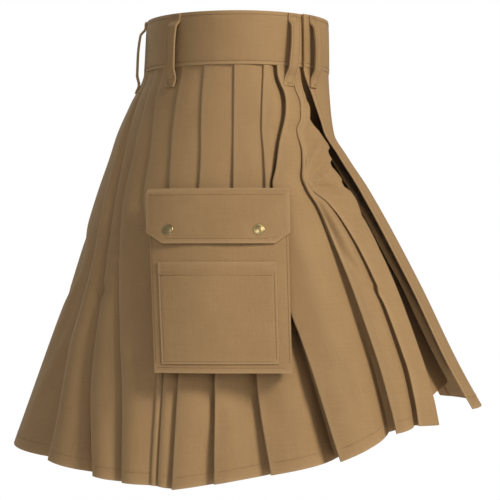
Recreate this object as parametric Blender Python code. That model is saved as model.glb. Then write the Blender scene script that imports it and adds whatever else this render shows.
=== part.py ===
"""A pleated utility kilt, filled out as if worn.

The front (aprons) faces -Y, the wearer's right is -X, and the origin is the centre of the
waist opening, level with the top of the waistband. Heights are given as drops below it.
"""

import math
from collections import namedtuple

import bmesh
import bpy

# Driving dimensions, in metres
CLOTH = 0.0012
LAYER_STEP = 0.0017
SEAM_GAP = 0.0003
BAND_HEIGHT = 0.068
BAND_THICK = 0.0028
BAND_LEVEL = 0.0004
OVERLAP_LEVEL = 0.0046
LAP_START = 214.0
LAP_END = 224.0
WAIST_TUCK = 0.012
TUCK_SHARE = 0.55
STITCHED_DROP = 0.160
LOOP_WIDTH = 0.016
LOOP_THICK = 0.0024
LOOP_BOW = 0.0105
LOOP_LOW_SEAT = 0.0022
STUD_RADIUS = 0.00725
STUD_HEIGHT = 0.0026
STUD_SIDES = 16
STUD_SEAT = 0.0029

# The garment's outline: half sizes at each drop, and how square the front half is
Section = namedtuple("Section", "drop front back side power")
SECTIONS = (
    Section(0.000, 0.1150, 0.1200, 0.1540, 2.0),
    Section(0.068, 0.1160, 0.1240, 0.1560, 2.0),
    Section(0.110, 0.1180, 0.1425, 0.1620, 2.4),
    Section(0.150, 0.1225, 0.1595, 0.1690, 2.9),
    Section(0.180, 0.1395, 0.1690, 0.1770, 3.0),
    Section(0.225, 0.1690, 0.1845, 0.1880, 3.0),
    Section(0.343, 0.2330, 0.2210, 0.2190, 3.0),
    Section(0.460, 0.2900, 0.2600, 0.2500, 2.9),
    Section(0.600, 0.3710, 0.3080, 0.2880, 2.9),
)
HIP_DROP = 0.225
MIDDLE_DROP = 0.343
UPPER_DROPS = (BAND_HEIGHT + SEAM_GAP, 0.110, 0.150, 0.180, HIP_DROP, 0.280, MIDDLE_DROP)
LOWER_SHARES = (0.5, 1.0)

# How the pleats open: how far they have by the middle row, and where the folds begin to stand
# out; then the turn of a hidden fold, in degrees
MIDDLE_OPENNESS = 0.45
LIFT_START = 0.09
LIFT_RUN = 0.06
FIRST_PITCH = 12.0
EMERGING_TURN = 0.5

# Where each outer fold runs: degrees round from the right side (back is 90), the drop of its
# hem corner, the step down to the next layer at the hem, the hidden tuck at the hem, and how
# far the fold stands out at the hip and at the hem
Pleat = namedtuple("Pleat", "waist hip middle hem hem_drop step tuck hip_lift hem_lift")
RIGHT_PLEATS = (
    Pleat(-37.9, -28.3, -35.2, -36.0, 0.531, 0.014, 0.010, 0.002, 0.002),
    Pleat(-24.2, -14.6, -14.0, -21.1, 0.563, 0.024, 0.006, 0.004, 0.006),
    Pleat(-16.5, -11.4, -7.0, -6.6, 0.579, 0.008, 0.012, 0.000, 0.003),
    Pleat(1.8, 1.6, 6.5, 5.2, 0.590, 0.008, 0.012, 0.000, 0.004),
    Pleat(20.1, 15.2, 16.6, 14.8, 0.597, 0.006, 0.010, 0.000, 0.005),
)
BACK_RIGHT_PLEATS = (
    Pleat(34.0, 25.6, 23.0, 18.4, 0.594, 0.005, 0.008, 0.000, 0.001),
    Pleat(47.0, 37.0, 31.5, 22.6, 0.593, 0.004, 0.006, 0.000, 0.000),
    Pleat(60.0, 50.0, 42.4, 27.3, 0.591, 0.007, 0.010, 0.000, 0.003),
    Pleat(69.5, 58.0, 51.0, 35.7, 0.585, 0.011, -0.016, 0.000, 0.004),
    Pleat(79.0, 67.0, 58.5, 52.4, 0.570, 0.012, 0.008, 0.003, 0.004),
    Pleat(91.0, 88.0, 84.0, 86.0, 0.557, 0.010, 0.012, 0.001, 0.003),
)
BACK_LEFT_PLEATS = (
    Pleat(103.0, 103.0, 102.0, 101.0, 0.566, 0.009, 0.012, 0.000, 0.003),
    Pleat(115.0, 116.0, 116.0, 115.0, 0.574, 0.009, 0.012, 0.001, 0.003),
    Pleat(127.0, 129.0, 130.0, 129.0, 0.582, 0.009, 0.010, 0.000, 0.003),
    Pleat(140.0, 143.0, 144.0, 143.0, 0.588, 0.008, 0.010, 0.001, 0.003),
    Pleat(154.0, 157.0, 158.0, 157.0, 0.594, 0.008, 0.012, 0.000, 0.004),
)
LEFT_PLEATS = (
    Pleat(168.0, 171.0, 172.0, 171.0, 0.596, 0.008, 0.012, 0.000, 0.004),
    Pleat(183.0, 187.0, 188.0, 187.0, 0.592, 0.008, 0.012, 0.001, 0.004),
    Pleat(197.0, 203.0, 204.0, 204.0, 0.578, 0.009, 0.012, 0.000, 0.005),
    Pleat(210.0, 219.0, 221.0, 221.0, 0.555, 0.010, 0.012, 0.002, 0.004),
    Pleat(221.0, 232.0, 236.0, 237.0, 0.527, 0.010, 0.010, 0.000, 0.002),
)
APRON_FOLD = Pleat(-44.0, -36.0, -45.5, -43.6, 0.523, 0.005, 0.008, 0.001, 0.000)
PLEATS = (APRON_FOLD,) + RIGHT_PLEATS + BACK_RIGHT_PLEATS + BACK_LEFT_PLEATS + LEFT_PLEATS
PLEAT_NODES = (
    ("pleats_right", len(RIGHT_PLEATS)),
    ("pleats_back_right", len(BACK_RIGHT_PLEATS)),
    ("pleats_back_left", len(BACK_LEFT_PLEATS)),
    ("pleats_left", len(LEFT_PLEATS)),
)

# The aprons at each drop: where the outer one's edges lie, how far the under one runs level
# from its fold, and how far it then hangs inside near the fold and across the front
Apron = namedtuple("Apron", "drop right left under_edge under_flat hang_fold hang_middle")
APRONS = (
    Apron(0.068, -0.112, 0.110, 0.100, 0.016, 0.0000, 0.0000),
    Apron(0.110, -0.114, 0.118, 0.102, 0.017, 0.0100, 0.0020),
    Apron(0.150, -0.117, 0.126, 0.104, 0.024, 0.0200, 0.0040),
    Apron(0.225, -0.124, 0.137, 0.106, 0.032, 0.0300, 0.0070),
    Apron(0.343, -0.136, 0.152, 0.106, 0.034, 0.0320, 0.0100),
    Apron(0.600, -0.152, 0.176, 0.106, 0.030, 0.0340, 0.0120),
)
OUTER_HEM_DROP = 0.507
UNDER_HEM_DROP = 0.478
OUTER_COLUMNS = 9
APRON_TURN = 0.020
UNDER_COLUMNS = 8
UNDER_CORNER = 0.7
UNDER_CORNER_POWER = 6

# The waistband's seam and ends, in degrees, and its columns
BAND_SEAM = 90.0
BAND_SEAM_HALF = 0.00018
UNDER_BAND_END = -130.0
OVER_BAND_END = 316.0
UNDER_BAND_COLUMNS = 22
OVER_BAND_COLUMNS = 23

# Belt loops: degrees round, lean of the lower end, and whether the loop is on the overlap
Loop = namedtuple("Loop", "name angle lean on_overlap")
LOOPS = (
    Loop("belt_loop_back", 84.0, 0.0, False),
    Loop("belt_loop_back_right", 40.1, 0.0, False),
    Loop("belt_loop_back_left", 140.0, 0.0, False),
    Loop("belt_loop_side_right", -36.6, 4.0, False),
    Loop("belt_loop_side_left", 207.0, 0.0, False),
    Loop("belt_loop_apron_right", 308.2, 0.0, True),
    Loop("belt_loop_apron_left", 232.6, 0.0, True),
)

# A loop's rows: drop, what it is sewn to, how far it rises (bows count in LOOP_BOW, seats in
# metres), and its share of the lean
LoopRow = namedtuple("LoopRow", "drop seat rise lean")
LOOP_ROWS = (
    LoopRow(0.0005, "band", 0.0, 0.0),
    LoopRow(0.0080, "band", 0.0, 0.0),
    LoopRow(0.0180, "bow", 0.9, 0.1),
    LoopRow(0.0440, "bow", 1.1, 0.4),
    LoopRow(0.0700, "bow", 1.0, 0.7),
    LoopRow(0.0860, "pleats", 0.0008, 0.9),
    LoopRow(0.0950, "pleats", 0.0, 1.0),
)

# Cargo pockets: Y of the edges and drop of each level, and how far the back stands off
POCKET_TOP_DROP = 0.228
POCKET_HEIGHT = 0.228
POCKET_TOP_EDGES = (0.104, -0.060)
POCKET_FOOT_EDGES = (0.094, -0.065)
POCKET_TOP_STANDOFF = {"right": 0.0052, "left": 0.0022}
POCKET_FOOT_STANDOFF = 0.0120
POCKET_DEPTH = 0.0120
MOUTH_DROP = 0.010
FLAP_OVERHANG = 0.0015
FLAP_HANG = 0.0126
FLAP_THICK = 0.0018
PATCH_TOP = 0.092
PATCH_FOOT = 0.217
PATCH_EDGES = (0.060, 0.905)
PATCH_LIFT = 0.00045

# A flap's rows: how far down, share of its hang, how far it lifts, and how far it is clipped
FlapRow = namedtuple("FlapRow", "down hang lift clip")
FLAP_ROWS = (
    FlapRow(0.0000, 0.55, 0.0000, 0.0),
    FlapRow(0.0070, 1.00, 0.0000, 0.0),
    FlapRow(0.0310, 1.00, 0.0010, 0.0),
    FlapRow(0.0555, 1.00, 0.0015, 0.0),
    FlapRow(0.0690, 1.00, 0.0020, 0.018),
)

# Press studs: where each is on the flap, and a cap's rings as shares of its radius and height
Stud = namedtuple("Stud", "name across down")
STUDS = (Stud("back", 0.145, 0.052), Stud("front", 0.780, 0.052))
StudRing = namedtuple("StudRing", "radius height")
STUD_RINGS = (StudRing(1.0, 0.0), StudRing(1.0, 0.35), StudRing(0.86, 0.75), StudRing(0.5, 1.0))
POCKET_COLUMNS = 8
POCKET_ROWS = 5
PATCH_ROWS = 3

BACK_POWER = 2.0
NEAR_EDGE = 1e-9
NUDGE = 0.5
REACH = 0.01
LEAST_MITRE = 0.5


def clear_scene():
    """Empty the scene, so that the script can run again."""
    for thing in list(bpy.data.objects):
        bpy.data.objects.remove(thing)


def make_material(name, colour, roughness, metallic=0.0):
    """A plain Principled material."""
    material = bpy.data.materials.new(name)
    material.use_nodes = True
    shader = material.node_tree.nodes["Principled BSDF"]
    shader.inputs["Base Color"].default_value = (*colour, 1.0)
    shader.inputs["Roughness"].default_value = roughness
    shader.inputs["Metallic"].default_value = metallic
    return material


def mix(start, end, share):
    return start + (end - start) * share


def even_steps(start, end, count):
    """Evenly spaced values from start to end, count steps apart."""
    return [mix(start, end, step / count) for step in range(count + 1)]


def read_table(table, drop, column):
    """A column of a table at any drop, in straight runs between its rows."""
    upper = table[0]
    for lower in table:
        if drop <= lower.drop:
            break
        upper = lower
    span = lower.drop - upper.drop
    share = min((drop - upper.drop) / span, 1.0) if span > 0.0 else 0.0
    return mix(getattr(upper, column), getattr(lower, column), share)


def outline_shape(drop, is_back):
    """Side half size, front or back half size and squareness at a drop."""
    side = read_table(SECTIONS, drop, "side")
    if is_back:
        return side, read_table(SECTIONS, drop, "back"), BACK_POWER
    return side, read_table(SECTIONS, drop, "front"), read_table(SECTIONS, drop, "power")


def moved_out(x, y, side, depth, power, level):
    """A point of the outline moved along its outward normal by level."""
    across = math.copysign(abs(x / side) ** (power - 1.0) / side, x)
    along = math.copysign(abs(y / depth) ** (power - 1.0) / depth, y)
    length = math.hypot(across, along)
    return x + across / length * level, y + along / length * level


def ring_point(angle, drop, level):
    """A point round the garment: 0 degrees is the right side, 90 the back."""
    turn = math.radians(angle)
    sine = math.sin(turn)
    side, depth, power = outline_shape(drop, sine > 0.0)
    reach = max(1.0 - abs(sine) ** power, NEAR_EDGE) ** (1.0 / power)
    x = -math.copysign(side * reach, math.cos(turn))
    return moved_out(x, depth * sine, side, depth, power, level)


def front_point(x, drop, level):
    """A point of the front of the garment at a given distance across."""
    side, depth, power = outline_shape(drop, False)
    y = -depth * max(1.0 - abs(x / side) ** power, NEAR_EDGE) ** (1.0 / power)
    return moved_out(x, y, side, depth, power, level)


def side_point(y, drop, level):
    """A point of the right side of the garment at a given distance along."""
    side, depth, power = outline_shape(drop, y > 0.0)
    x = -side * max(1.0 - abs(y / depth) ** power, NEAR_EDGE) ** (1.0 / power)
    return moved_out(x, y, side, depth, power, level)


def offset_path(path, distance):
    """The path moved sideways by distance, with mitred corners."""
    moved = []
    last = len(path) - 1
    for index, (x, y) in enumerate(path):
        before = path[max(index - 1, 0)]
        after = path[min(index + 1, last)]
        normals = []
        for (ax, ay), (bx, by) in ((before, (x, y)), ((x, y), after)):
            length = math.hypot(bx - ax, by - ay)
            if length > NEAR_EDGE:
                normals.append(((by - ay) / length, (ax - bx) / length))
        nx = sum(normal[0] for normal in normals)
        ny = sum(normal[1] for normal in normals)
        size = math.hypot(nx, ny)
        nx, ny = nx / size, ny / size
        reach = distance / max(nx * normals[0][0] + ny * normals[0][1], LEAST_MITRE)
        moved.append((x + nx * reach, y + ny * reach))
    return moved


def wall_object(name, rows, thickness, material):
    """A closed wall from rows of (x, y, z) centre points, thickened level by level."""
    sheets = []
    for side in (0.5, -0.5):
        sheet = []
        for row in rows:
            flat = [(x, y) for x, y, z in row]
            moved = offset_path(flat, thickness * side)
            sheet.append([(x, y, z) for (x, y), (_, _, z) in zip(moved, row)])
        sheets.append(sheet)
    return two_sheet_object(name, sheets[0], sheets[1], material)


def two_sheet_object(name, front, back, material):
    """A closed body between two sheets of points with the same rows and columns."""
    shape = bmesh.new()
    grids = [[[shape.verts.new(point) for point in row] for row in sheet] for sheet in (front, back)]
    rows = len(front)
    columns = len(front[0])

    def add_cell(a, b, c, d):
        shape.faces.new((a, b, c))
        shape.faces.new((a, c, d))

    for row in range(rows - 1):
        for column in range(columns - 1):
            for grid in grids:
                add_cell(
                    grid[row][column],
                    grid[row][column + 1],
                    grid[row + 1][column + 1],
                    grid[row + 1][column],
                )
    face, rear = grids
    for row in (0, rows - 1):
        for column in range(columns - 1):
            add_cell(face[row][column], face[row][column + 1], rear[row][column + 1], rear[row][column])
    for column in (0, columns - 1):
        for row in range(rows - 1):
            add_cell(face[row][column], face[row + 1][column], rear[row + 1][column], rear[row][column])
    return finish_object(name, shape, material)


def finish_object(name, shape, material):
    """Turn the faces outward and link the mesh as an object."""
    bmesh.ops.recalc_face_normals(shape, faces=shape.faces)
    mesh = bpy.data.meshes.new(name)
    shape.to_mesh(mesh)
    shape.free()
    mesh.materials.append(material)
    made = bpy.data.objects.new(name, mesh)
    bpy.context.scene.collection.objects.link(made)
    return made


def row_places():
    """Each row as (fixed drop or None, share of the way down to the hem)."""
    upper = [(drop, 0.0) for drop in UPPER_DROPS]
    return upper + [(None, share) for share in LOWER_SHARES]


def row_drop(place, hem_drop):
    """Drop of a row for cloth that ends at a given hem."""
    fixed, share = place
    return fixed if fixed is not None else mix(UPPER_DROPS[-1], hem_drop, share)


def pleat_angle(pleat, place):
    """Where the fold runs in a row, in degrees."""
    fixed, share = place
    if fixed is None:
        return mix(pleat.middle, pleat.hem, share)
    if fixed > HIP_DROP:
        return mix(pleat.hip, pleat.middle, (fixed - HIP_DROP) / (MIDDLE_DROP - HIP_DROP))
    return mix(pleat.waist, pleat.hip, (fixed - UPPER_DROPS[0]) / (HIP_DROP - UPPER_DROPS[0]))


def openness(place):
    """How far a row has left the stitched part: 0 there, 1 at the hem."""
    fixed, share = place
    if fixed is None:
        return mix(MIDDLE_OPENNESS, 1.0, share)
    return MIDDLE_OPENNESS * max(fixed - STITCHED_DROP, 0.0) / (UPPER_DROPS[-1] - STITCHED_DROP)


def pleat_lift(pleat, place):
    """How far a fold stands out in a row."""
    fixed, share = place
    if fixed is None:
        return mix(pleat.hip_lift, pleat.hem_lift, share)
    return pleat.hip_lift * min(max(fixed - LIFT_START, 0.0) / LIFT_RUN, 1.0)


def pleat_step(pleat, place):
    """Step down from a fold to the next layer in a row."""
    return mix(LAYER_STEP, pleat.step, openness(place))


def degrees_for(distance, angle, drop):
    """How many degrees a distance takes round the outline."""
    ax, ay = ring_point(angle - NUDGE, drop, 0.0)
    bx, by = ring_point(angle + NUDGE, drop, 0.0)
    return distance / math.hypot(bx - ax, by - ay)


class PleatRow:
    """The layers of the pleated length along one row."""

    def __init__(self, place):
        self.place = place
        self.folds = [pleat_angle(pleat, place) for pleat in PLEATS]
        self.drops = [row_drop(place, pleat.hem_drop) for pleat in PLEATS]
        self.steps = [pleat_step(pleat, place) for pleat in PLEATS]
        self.lifts = [pleat_lift(pleat, place) for pleat in PLEATS]
        self.tucks = [self.tuck_degrees(index) for index in range(len(PLEATS))]

    def tuck_degrees(self, index):
        """How far a fold's return runs back under its face."""
        before = self.folds[index - 1] if index else self.folds[0] - FIRST_PITCH
        pitch = self.folds[index] - before
        length = mix(WAIST_TUCK, PLEATS[index].tuck, openness(self.place))
        return min(degrees_for(length, self.folds[index], self.drops[index]), TUCK_SHARE * pitch)

    def face_level(self, index, angle):
        """Level of a pleat's face between where it emerges and its own fold."""
        start = self.folds[index - 1]
        start_level = -2.0 * self.steps[index - 1] + self.lifts[index - 1]
        share = (angle - start) / (self.folds[index] - start)
        return mix(start_level, self.lifts[index], max(share, 0.0))

    def face_points(self, index):
        """Centre points of pleat index: hidden start, face and outer fold, and its return."""
        before = index - 1
        start = self.folds[before]
        fold = self.folds[index]
        inner = start - self.tucks[before]
        hidden = 0.0
        if before and self.tucks[before] > 0.0:
            hidden = self.face_level(before, inner) - self.lifts[before]
        bottom = -2.0 * self.steps[before] + self.lifts[before]
        emerging = max(start, inner + EMERGING_TURN)
        nose = degrees_for(LAYER_STEP * 0.5, fold, self.drops[index])
        return [
            (inner, bottom + hidden),
            (emerging, bottom if inner < start else self.face_level(index, emerging)),
            (mix(emerging, fold, 0.5), self.face_level(index, mix(emerging, fold, 0.5))),
            (fold, self.lifts[index]),
            (fold + nose, self.lifts[index] - LAYER_STEP * 0.5),
            (fold, self.lifts[index] - LAYER_STEP),
        ]

    def return_end(self, index):
        """The end of the layer under a fold, at its inner fold."""
        inner = self.folds[index] - self.tucks[index]
        level = self.lifts[index] - 2.0 * self.steps[index] + LAYER_STEP
        if index and self.tucks[index] > 0.0:
            level += self.face_level(index, inner) - self.lifts[index]
        return inner, level

    def inner_nose(self, index):
        """The turn of the inner fold under pleat index."""
        inner, level = self.return_end(index)
        share = min(max(self.tucks[index], 0.0), 1.0)
        nose = degrees_for(LAYER_STEP * 0.5, inner, self.drops[index]) * share
        return inner - nose, level - LAYER_STEP * 0.5

    def hem_drop(self, angle):
        """Drop of this row at an angle, between its neighbours' corners."""
        for index in range(1, len(self.folds)):
            if angle <= self.folds[index]:
                break
        start, end = self.folds[index - 1], self.folds[index]
        share = min(max((angle - start) / (end - start), 0.0), 1.0)
        return mix(self.drops[index - 1], self.drops[index], share)

    def place_point(self, angle, level):
        """A point of this row, at its own drop."""
        drop = self.hem_drop(angle)
        x, y = ring_point(angle, drop, level)
        return x, y, -drop


def make_pleats(name, first, count, material):
    """One stretch of the pleated length, from the inner fold before its first pleat."""
    rows = []
    for place in row_places():
        row = PleatRow(place)
        polar = []
        for index in range(first, first + count):
            if index > first:
                polar.append(row.inner_nose(index - 1))
            polar += row.face_points(index)
            polar.append(row.return_end(index))
        rows.append([row.place_point(angle, level) for angle, level in polar])
    return wall_object(name, rows, CLOTH, material)


def make_under_apron(material):
    """The plain inner end of the cloth, ending in the fold beside the first pleat."""
    rows = []
    for place in row_places():
        row = PleatRow(place)
        fold_drop = row.drops[0]
        plain_drop = row_drop(place, UNDER_HEM_DROP)
        fold = row.folds[0]
        level_run = degrees_for(read_table(APRONS, fold_drop, "under_flat"), fold, fold_drop)
        near_x = ring_point(fold - level_run, fold_drop, 0.0)[0]
        left_x = read_table(APRONS, plain_drop, "under_edge")
        hang_fold = read_table(APRONS, plain_drop, "hang_fold")
        hang_middle = read_table(APRONS, plain_drop, "hang_middle")
        points = []
        for column in range(UNDER_COLUMNS):
            share = column / (UNDER_COLUMNS - 1)
            x = mix(left_x, near_x, share)
            drop = mix(plain_drop, fold_drop, UNDER_CORNER * share ** UNDER_CORNER_POWER)
            hang = mix(hang_middle, hang_fold, share) if share < 1.0 else 0.0
            px, py = front_point(x, drop, -hang)
            points.append((px, py, -drop))
        nose = degrees_for(LAYER_STEP * 0.5, fold, fold_drop)
        for angle, level in (
            (fold, row.lifts[0]),
            (fold + nose, row.lifts[0] - LAYER_STEP * 0.5),
            (fold, row.lifts[0] - LAYER_STEP),
            row.return_end(0),
        ):
            points.append(row.place_point(angle, level))
        rows.append(points)
    return wall_object("apron_under", rows, CLOTH, material)


def make_outer_apron(material):
    """The plain outer end of the cloth across the front."""
    rows = []
    for place in row_places():
        drop = row_drop(place, OUTER_HEM_DROP)
        left = read_table(APRONS, drop, "left")
        right = read_table(APRONS, drop, "right")
        points = []
        for x, level in (
            (left - APRON_TURN, OVERLAP_LEVEL - LAYER_STEP),
            (left - LAYER_STEP * 0.5, OVERLAP_LEVEL - LAYER_STEP),
            (left, OVERLAP_LEVEL - LAYER_STEP * 0.5),
        ):
            px, py = front_point(x, drop, level)
            points.append((px, py, -drop))
        for column in range(OUTER_COLUMNS):
            x = mix(left - LAYER_STEP * 0.5, right, column / (OUTER_COLUMNS - 1))
            px, py = front_point(x, drop, OVERLAP_LEVEL)
            points.append((px, py, -drop))
        rows.append(points)
    return wall_object("apron_outer", rows, CLOTH, material)


def make_band(name, angles, material):
    """One length of the waistband, stepping out where it laps over the other end."""
    rows = []
    for drop in (0.0, BAND_HEIGHT * 0.5, BAND_HEIGHT):
        points = []
        for angle in angles:
            share = min(max((angle - LAP_START) / (LAP_END - LAP_START), 0.0), 1.0)
            level = mix(BAND_LEVEL, OVERLAP_LEVEL, share)
            x, y = ring_point(angle, drop, level)
            points.append((x, y, -drop))
        rows.append(points)
    return wall_object(name, rows, BAND_THICK, material)


def make_loop(loop, material):
    """A long belt loop, bowed clear of the band between its two ends."""
    base = OVERLAP_LEVEL if loop.on_overlap else BAND_LEVEL
    foot = base + BAND_THICK * 0.5 + SEAM_GAP + LOOP_THICK * 0.5
    low_foot = (OVERLAP_LEVEL if loop.on_overlap else 0.0) + LOOP_LOW_SEAT + SEAM_GAP
    front = []
    back = []
    for row in LOOP_ROWS:
        drop = row.drop
        seats = {"band": foot, "bow": base + LOOP_BOW * row.rise, "pleats": low_foot + row.rise}
        level = seats[row.seat]
        angle = loop.angle + loop.lean * row.lean
        ax, ay = ring_point(angle - NUDGE, drop, 0.0)
        bx, by = ring_point(angle + NUDGE, drop, 0.0)
        length = math.hypot(bx - ax, by - ay)
        tx, ty = (bx - ax) / length, (by - ay) / length
        for sheet, shift in ((front, LOOP_THICK * 0.5), (back, -LOOP_THICK * 0.5)):
            x, y = ring_point(angle, drop, level + shift)
            half = LOOP_WIDTH * 0.5
            sheet.append([(x - tx * half, y - ty * half, -drop), (x + tx * half, y + ty * half, -drop)])
    return two_sheet_object(loop.name, front, back, material)


def pocket_point(across, down, level, side):
    """A point on a cargo pocket: across runs 0 to 1 from its back edge, down in metres."""
    share = down / POCKET_HEIGHT
    back_edge = mix(POCKET_TOP_EDGES[0], POCKET_FOOT_EDGES[0], share)
    front_edge = mix(POCKET_TOP_EDGES[1], POCKET_FOOT_EDGES[1], share)
    drop = POCKET_TOP_DROP + down
    standoff = mix(POCKET_TOP_STANDOFF[side], POCKET_FOOT_STANDOFF, share)
    x, y = side_point(mix(back_edge, front_edge, across), drop, standoff + level)
    return (x if side == "right" else -x), y, -drop


def panel_object(name, columns, rows, level, thickness, side, material):
    """A flat-made panel on the pocket, from lists of places across and down."""
    sheets = []
    for shift in (thickness, 0.0):
        sheet = []
        for row, down in enumerate(rows):
            line = [pocket_point(across, down, level[row] + shift, side) for across in columns[row]]
            sheet.append(line)
        sheets.append(sheet)
    return two_sheet_object(name, sheets[0], sheets[1], material)


def make_pocket_bag(name, side, material):
    """An open-topped bag with a front, a back and side walls."""
    width = POCKET_TOP_EDGES[0] - POCKET_TOP_EDGES[1]
    wall = CLOTH / width
    shape = bmesh.new()

    def ring_row(down, inset):
        columns = even_steps(inset * wall, 1.0 - inset * wall, POCKET_COLUMNS)
        front = [pocket_point(across, down, POCKET_DEPTH - inset * CLOTH, side) for across in columns]
        back = [pocket_point(across, down, inset * CLOTH, side) for across in reversed(columns)]
        return [shape.verts.new(point) for point in front + back]

    outer = [ring_row(down, 0.0) for down in even_steps(MOUTH_DROP, POCKET_HEIGHT, POCKET_ROWS)]
    inner = [ring_row(down, 1.0) for down in even_steps(MOUTH_DROP, POCKET_HEIGHT - CLOTH, POCKET_ROWS)]
    count = len(outer[0])

    def join_rings(first, second):
        for index in range(count):
            following = (index + 1) % count
            shape.faces.new((first[index], first[following], second[following]))
            shape.faces.new((first[index], second[following], second[index]))

    for rings in (outer, inner):
        for first, second in zip(rings, rings[1:]):
            join_rings(first, second)
        foot = rings[-1]
        for index in range(POCKET_COLUMNS):
            shape.faces.new((foot[index], foot[index + 1], foot[count - 2 - index], foot[count - 1 - index]))
    join_rings(outer[0], inner[0])
    return finish_object(name, shape, material)


def make_flap(name, side, material):
    """The flap over the bag's mouth, with clipped lower corners."""
    width = POCKET_TOP_EDGES[0] - POCKET_TOP_EDGES[1]
    downs = [row.down for row in FLAP_ROWS]
    levels = [FLAP_HANG * row.hang + row.lift for row in FLAP_ROWS]
    edges = [(row.clip - FLAP_OVERHANG) / width for row in FLAP_ROWS]
    columns = [even_steps(edge, 1.0 - edge, POCKET_COLUMNS) for edge in edges]
    return panel_object(name, columns, downs, levels, FLAP_THICK, side, material)


def make_patch(name, side, material):
    """The patch pocket sewn on the front of the bag."""
    downs = even_steps(PATCH_TOP, PATCH_FOOT, PATCH_ROWS)
    levels = [POCKET_DEPTH + PATCH_LIFT] * len(downs)
    line = even_steps(PATCH_EDGES[0], PATCH_EDGES[1], POCKET_COLUMNS)
    return panel_object(name, [line] * len(downs), downs, levels, CLOTH, side, material)


def make_stud(name, across, down, side, material):
    """A domed press-stud cap on the flap."""
    level = POCKET_DEPTH + STUD_SEAT + FLAP_THICK
    x, y, z = pocket_point(across, down, level, side)
    ox, oy, _ = pocket_point(across, down, level + REACH, side)
    lx, ly, low_z = pocket_point(across, down + REACH, level, side)
    outward = ((ox - x) / REACH, (oy - y) / REACH, 0.0)
    down_way = (lx - x, ly - y, low_z - z)
    size = math.sqrt(sum(part * part for part in down_way))
    down_way = tuple(part / size for part in down_way)
    across_way = (-outward[1], outward[0], 0.0)
    normal = (
        down_way[1] * across_way[2] - down_way[2] * across_way[1],
        down_way[2] * across_way[0] - down_way[0] * across_way[2],
        down_way[0] * across_way[1] - down_way[1] * across_way[0],
    )
    sign = 1.0 if normal[0] * outward[0] + normal[1] * outward[1] > 0.0 else -1.0
    normal = tuple(part * sign for part in normal)
    shape = bmesh.new()
    rings = []
    for radius, height in STUD_RINGS:
        ring = []
        for step in range(STUD_SIDES):
            turn = 2.0 * math.pi * step / STUD_SIDES
            point = [
                origin
                + STUD_RADIUS * radius * (math.cos(turn) * a + math.sin(turn) * b)
                + STUD_HEIGHT * height * n
                for origin, a, b, n in zip((x, y, z), across_way, down_way, normal)
            ]
            ring.append(shape.verts.new(point))
        rings.append(ring)
    for first, second in zip(rings, rings[1:]):
        for step in range(STUD_SIDES):
            following = (step + 1) % STUD_SIDES
            shape.faces.new((first[step], first[following], second[following], second[step]))
    shape.faces.new(rings[0])
    shape.faces.new(rings[-1])
    return finish_object(name, shape, material)


def main():
    """Build every sub-part of the kilt."""
    clear_scene()
    cloth = make_material("khaki_twill", (0.376, 0.235, 0.107), 0.85)
    brass = make_material("brass", (0.60, 0.42, 0.16), 0.35, 1.0)
    make_under_apron(cloth)
    first = 1
    for name, count in PLEAT_NODES:
        make_pleats(name, first, count, cloth)
        first += count
    make_outer_apron(cloth)
    seam_half = degrees_for(BAND_SEAM_HALF, BAND_SEAM, 0.0)
    under = even_steps(UNDER_BAND_END, BAND_SEAM - seam_half, UNDER_BAND_COLUMNS)
    over = even_steps(BAND_SEAM + seam_half, OVER_BAND_END, OVER_BAND_COLUMNS)
    make_band("waistband_under", under, cloth)
    make_band("waistband_over", over, cloth)
    for loop in LOOPS:
        make_loop(loop, cloth)
    for side in ("right", "left"):
        make_pocket_bag(f"pocket_{side}_bag", side, cloth)
        make_flap(f"pocket_{side}_flap", side, cloth)
        make_patch(f"pocket_{side}_patch", side, cloth)
        for stud in STUDS:
            make_stud(f"stud_{side}_{stud.name}", stud.across, stud.down, side, brass)


main()
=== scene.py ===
"""The utility kilt, dressed in khaki twill with its stitching, cargo pockets and press studs.

Each sub-assembly is a class that repeats the sizes of its solids and shapes the same pieces
finely: knife pleats with soft folds and listed creases, aprons, band, loops and pockets.
"""

import logging
import math
from dataclasses import dataclass, field
from enum import Enum

import bmesh
import bpy
import numpy as np
from mathutils import Matrix, Vector


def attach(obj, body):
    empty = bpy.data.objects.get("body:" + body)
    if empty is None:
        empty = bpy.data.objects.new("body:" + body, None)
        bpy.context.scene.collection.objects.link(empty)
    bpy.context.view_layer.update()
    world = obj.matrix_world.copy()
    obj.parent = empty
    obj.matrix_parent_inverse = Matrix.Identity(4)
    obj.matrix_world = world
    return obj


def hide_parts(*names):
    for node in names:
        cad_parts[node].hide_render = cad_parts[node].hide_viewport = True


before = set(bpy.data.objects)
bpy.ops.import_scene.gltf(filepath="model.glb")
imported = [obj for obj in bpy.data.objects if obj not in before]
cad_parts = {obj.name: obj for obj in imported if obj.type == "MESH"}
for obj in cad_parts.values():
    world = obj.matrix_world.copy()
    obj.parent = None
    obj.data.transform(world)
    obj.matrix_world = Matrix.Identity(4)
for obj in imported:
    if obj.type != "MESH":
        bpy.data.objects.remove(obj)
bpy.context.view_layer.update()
LOG = logging.getLogger("kilt")

# Cloth sizes in metres, the same as the solids'
CLOTH = 0.0012
LAYER_STEP = 0.0017
SEAM_GAP = 0.0003
BAND_HEIGHT = 0.068
BAND_THICK = 0.0028
BAND_LEVEL = 0.0004
OVERLAP_LEVEL = 0.0046
STITCHED_DROP = 0.160
HIP_DROP = 0.225
MIDDLE_DROP = 0.343
TINY = 1e-9


Number = float | np.ndarray

# Steps of the pressed cap from its rim inwards: width of the ring and its rise, in metres
CAP_STEPS = (
    (0.0005, 0.0005),
    (0.0006, 0.0002),
    (0.0005, -0.0003),
    (0.0008, 0.0003),
    (0.0016, 0.0004),
    (0.0018, 0.0002),
)


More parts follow.
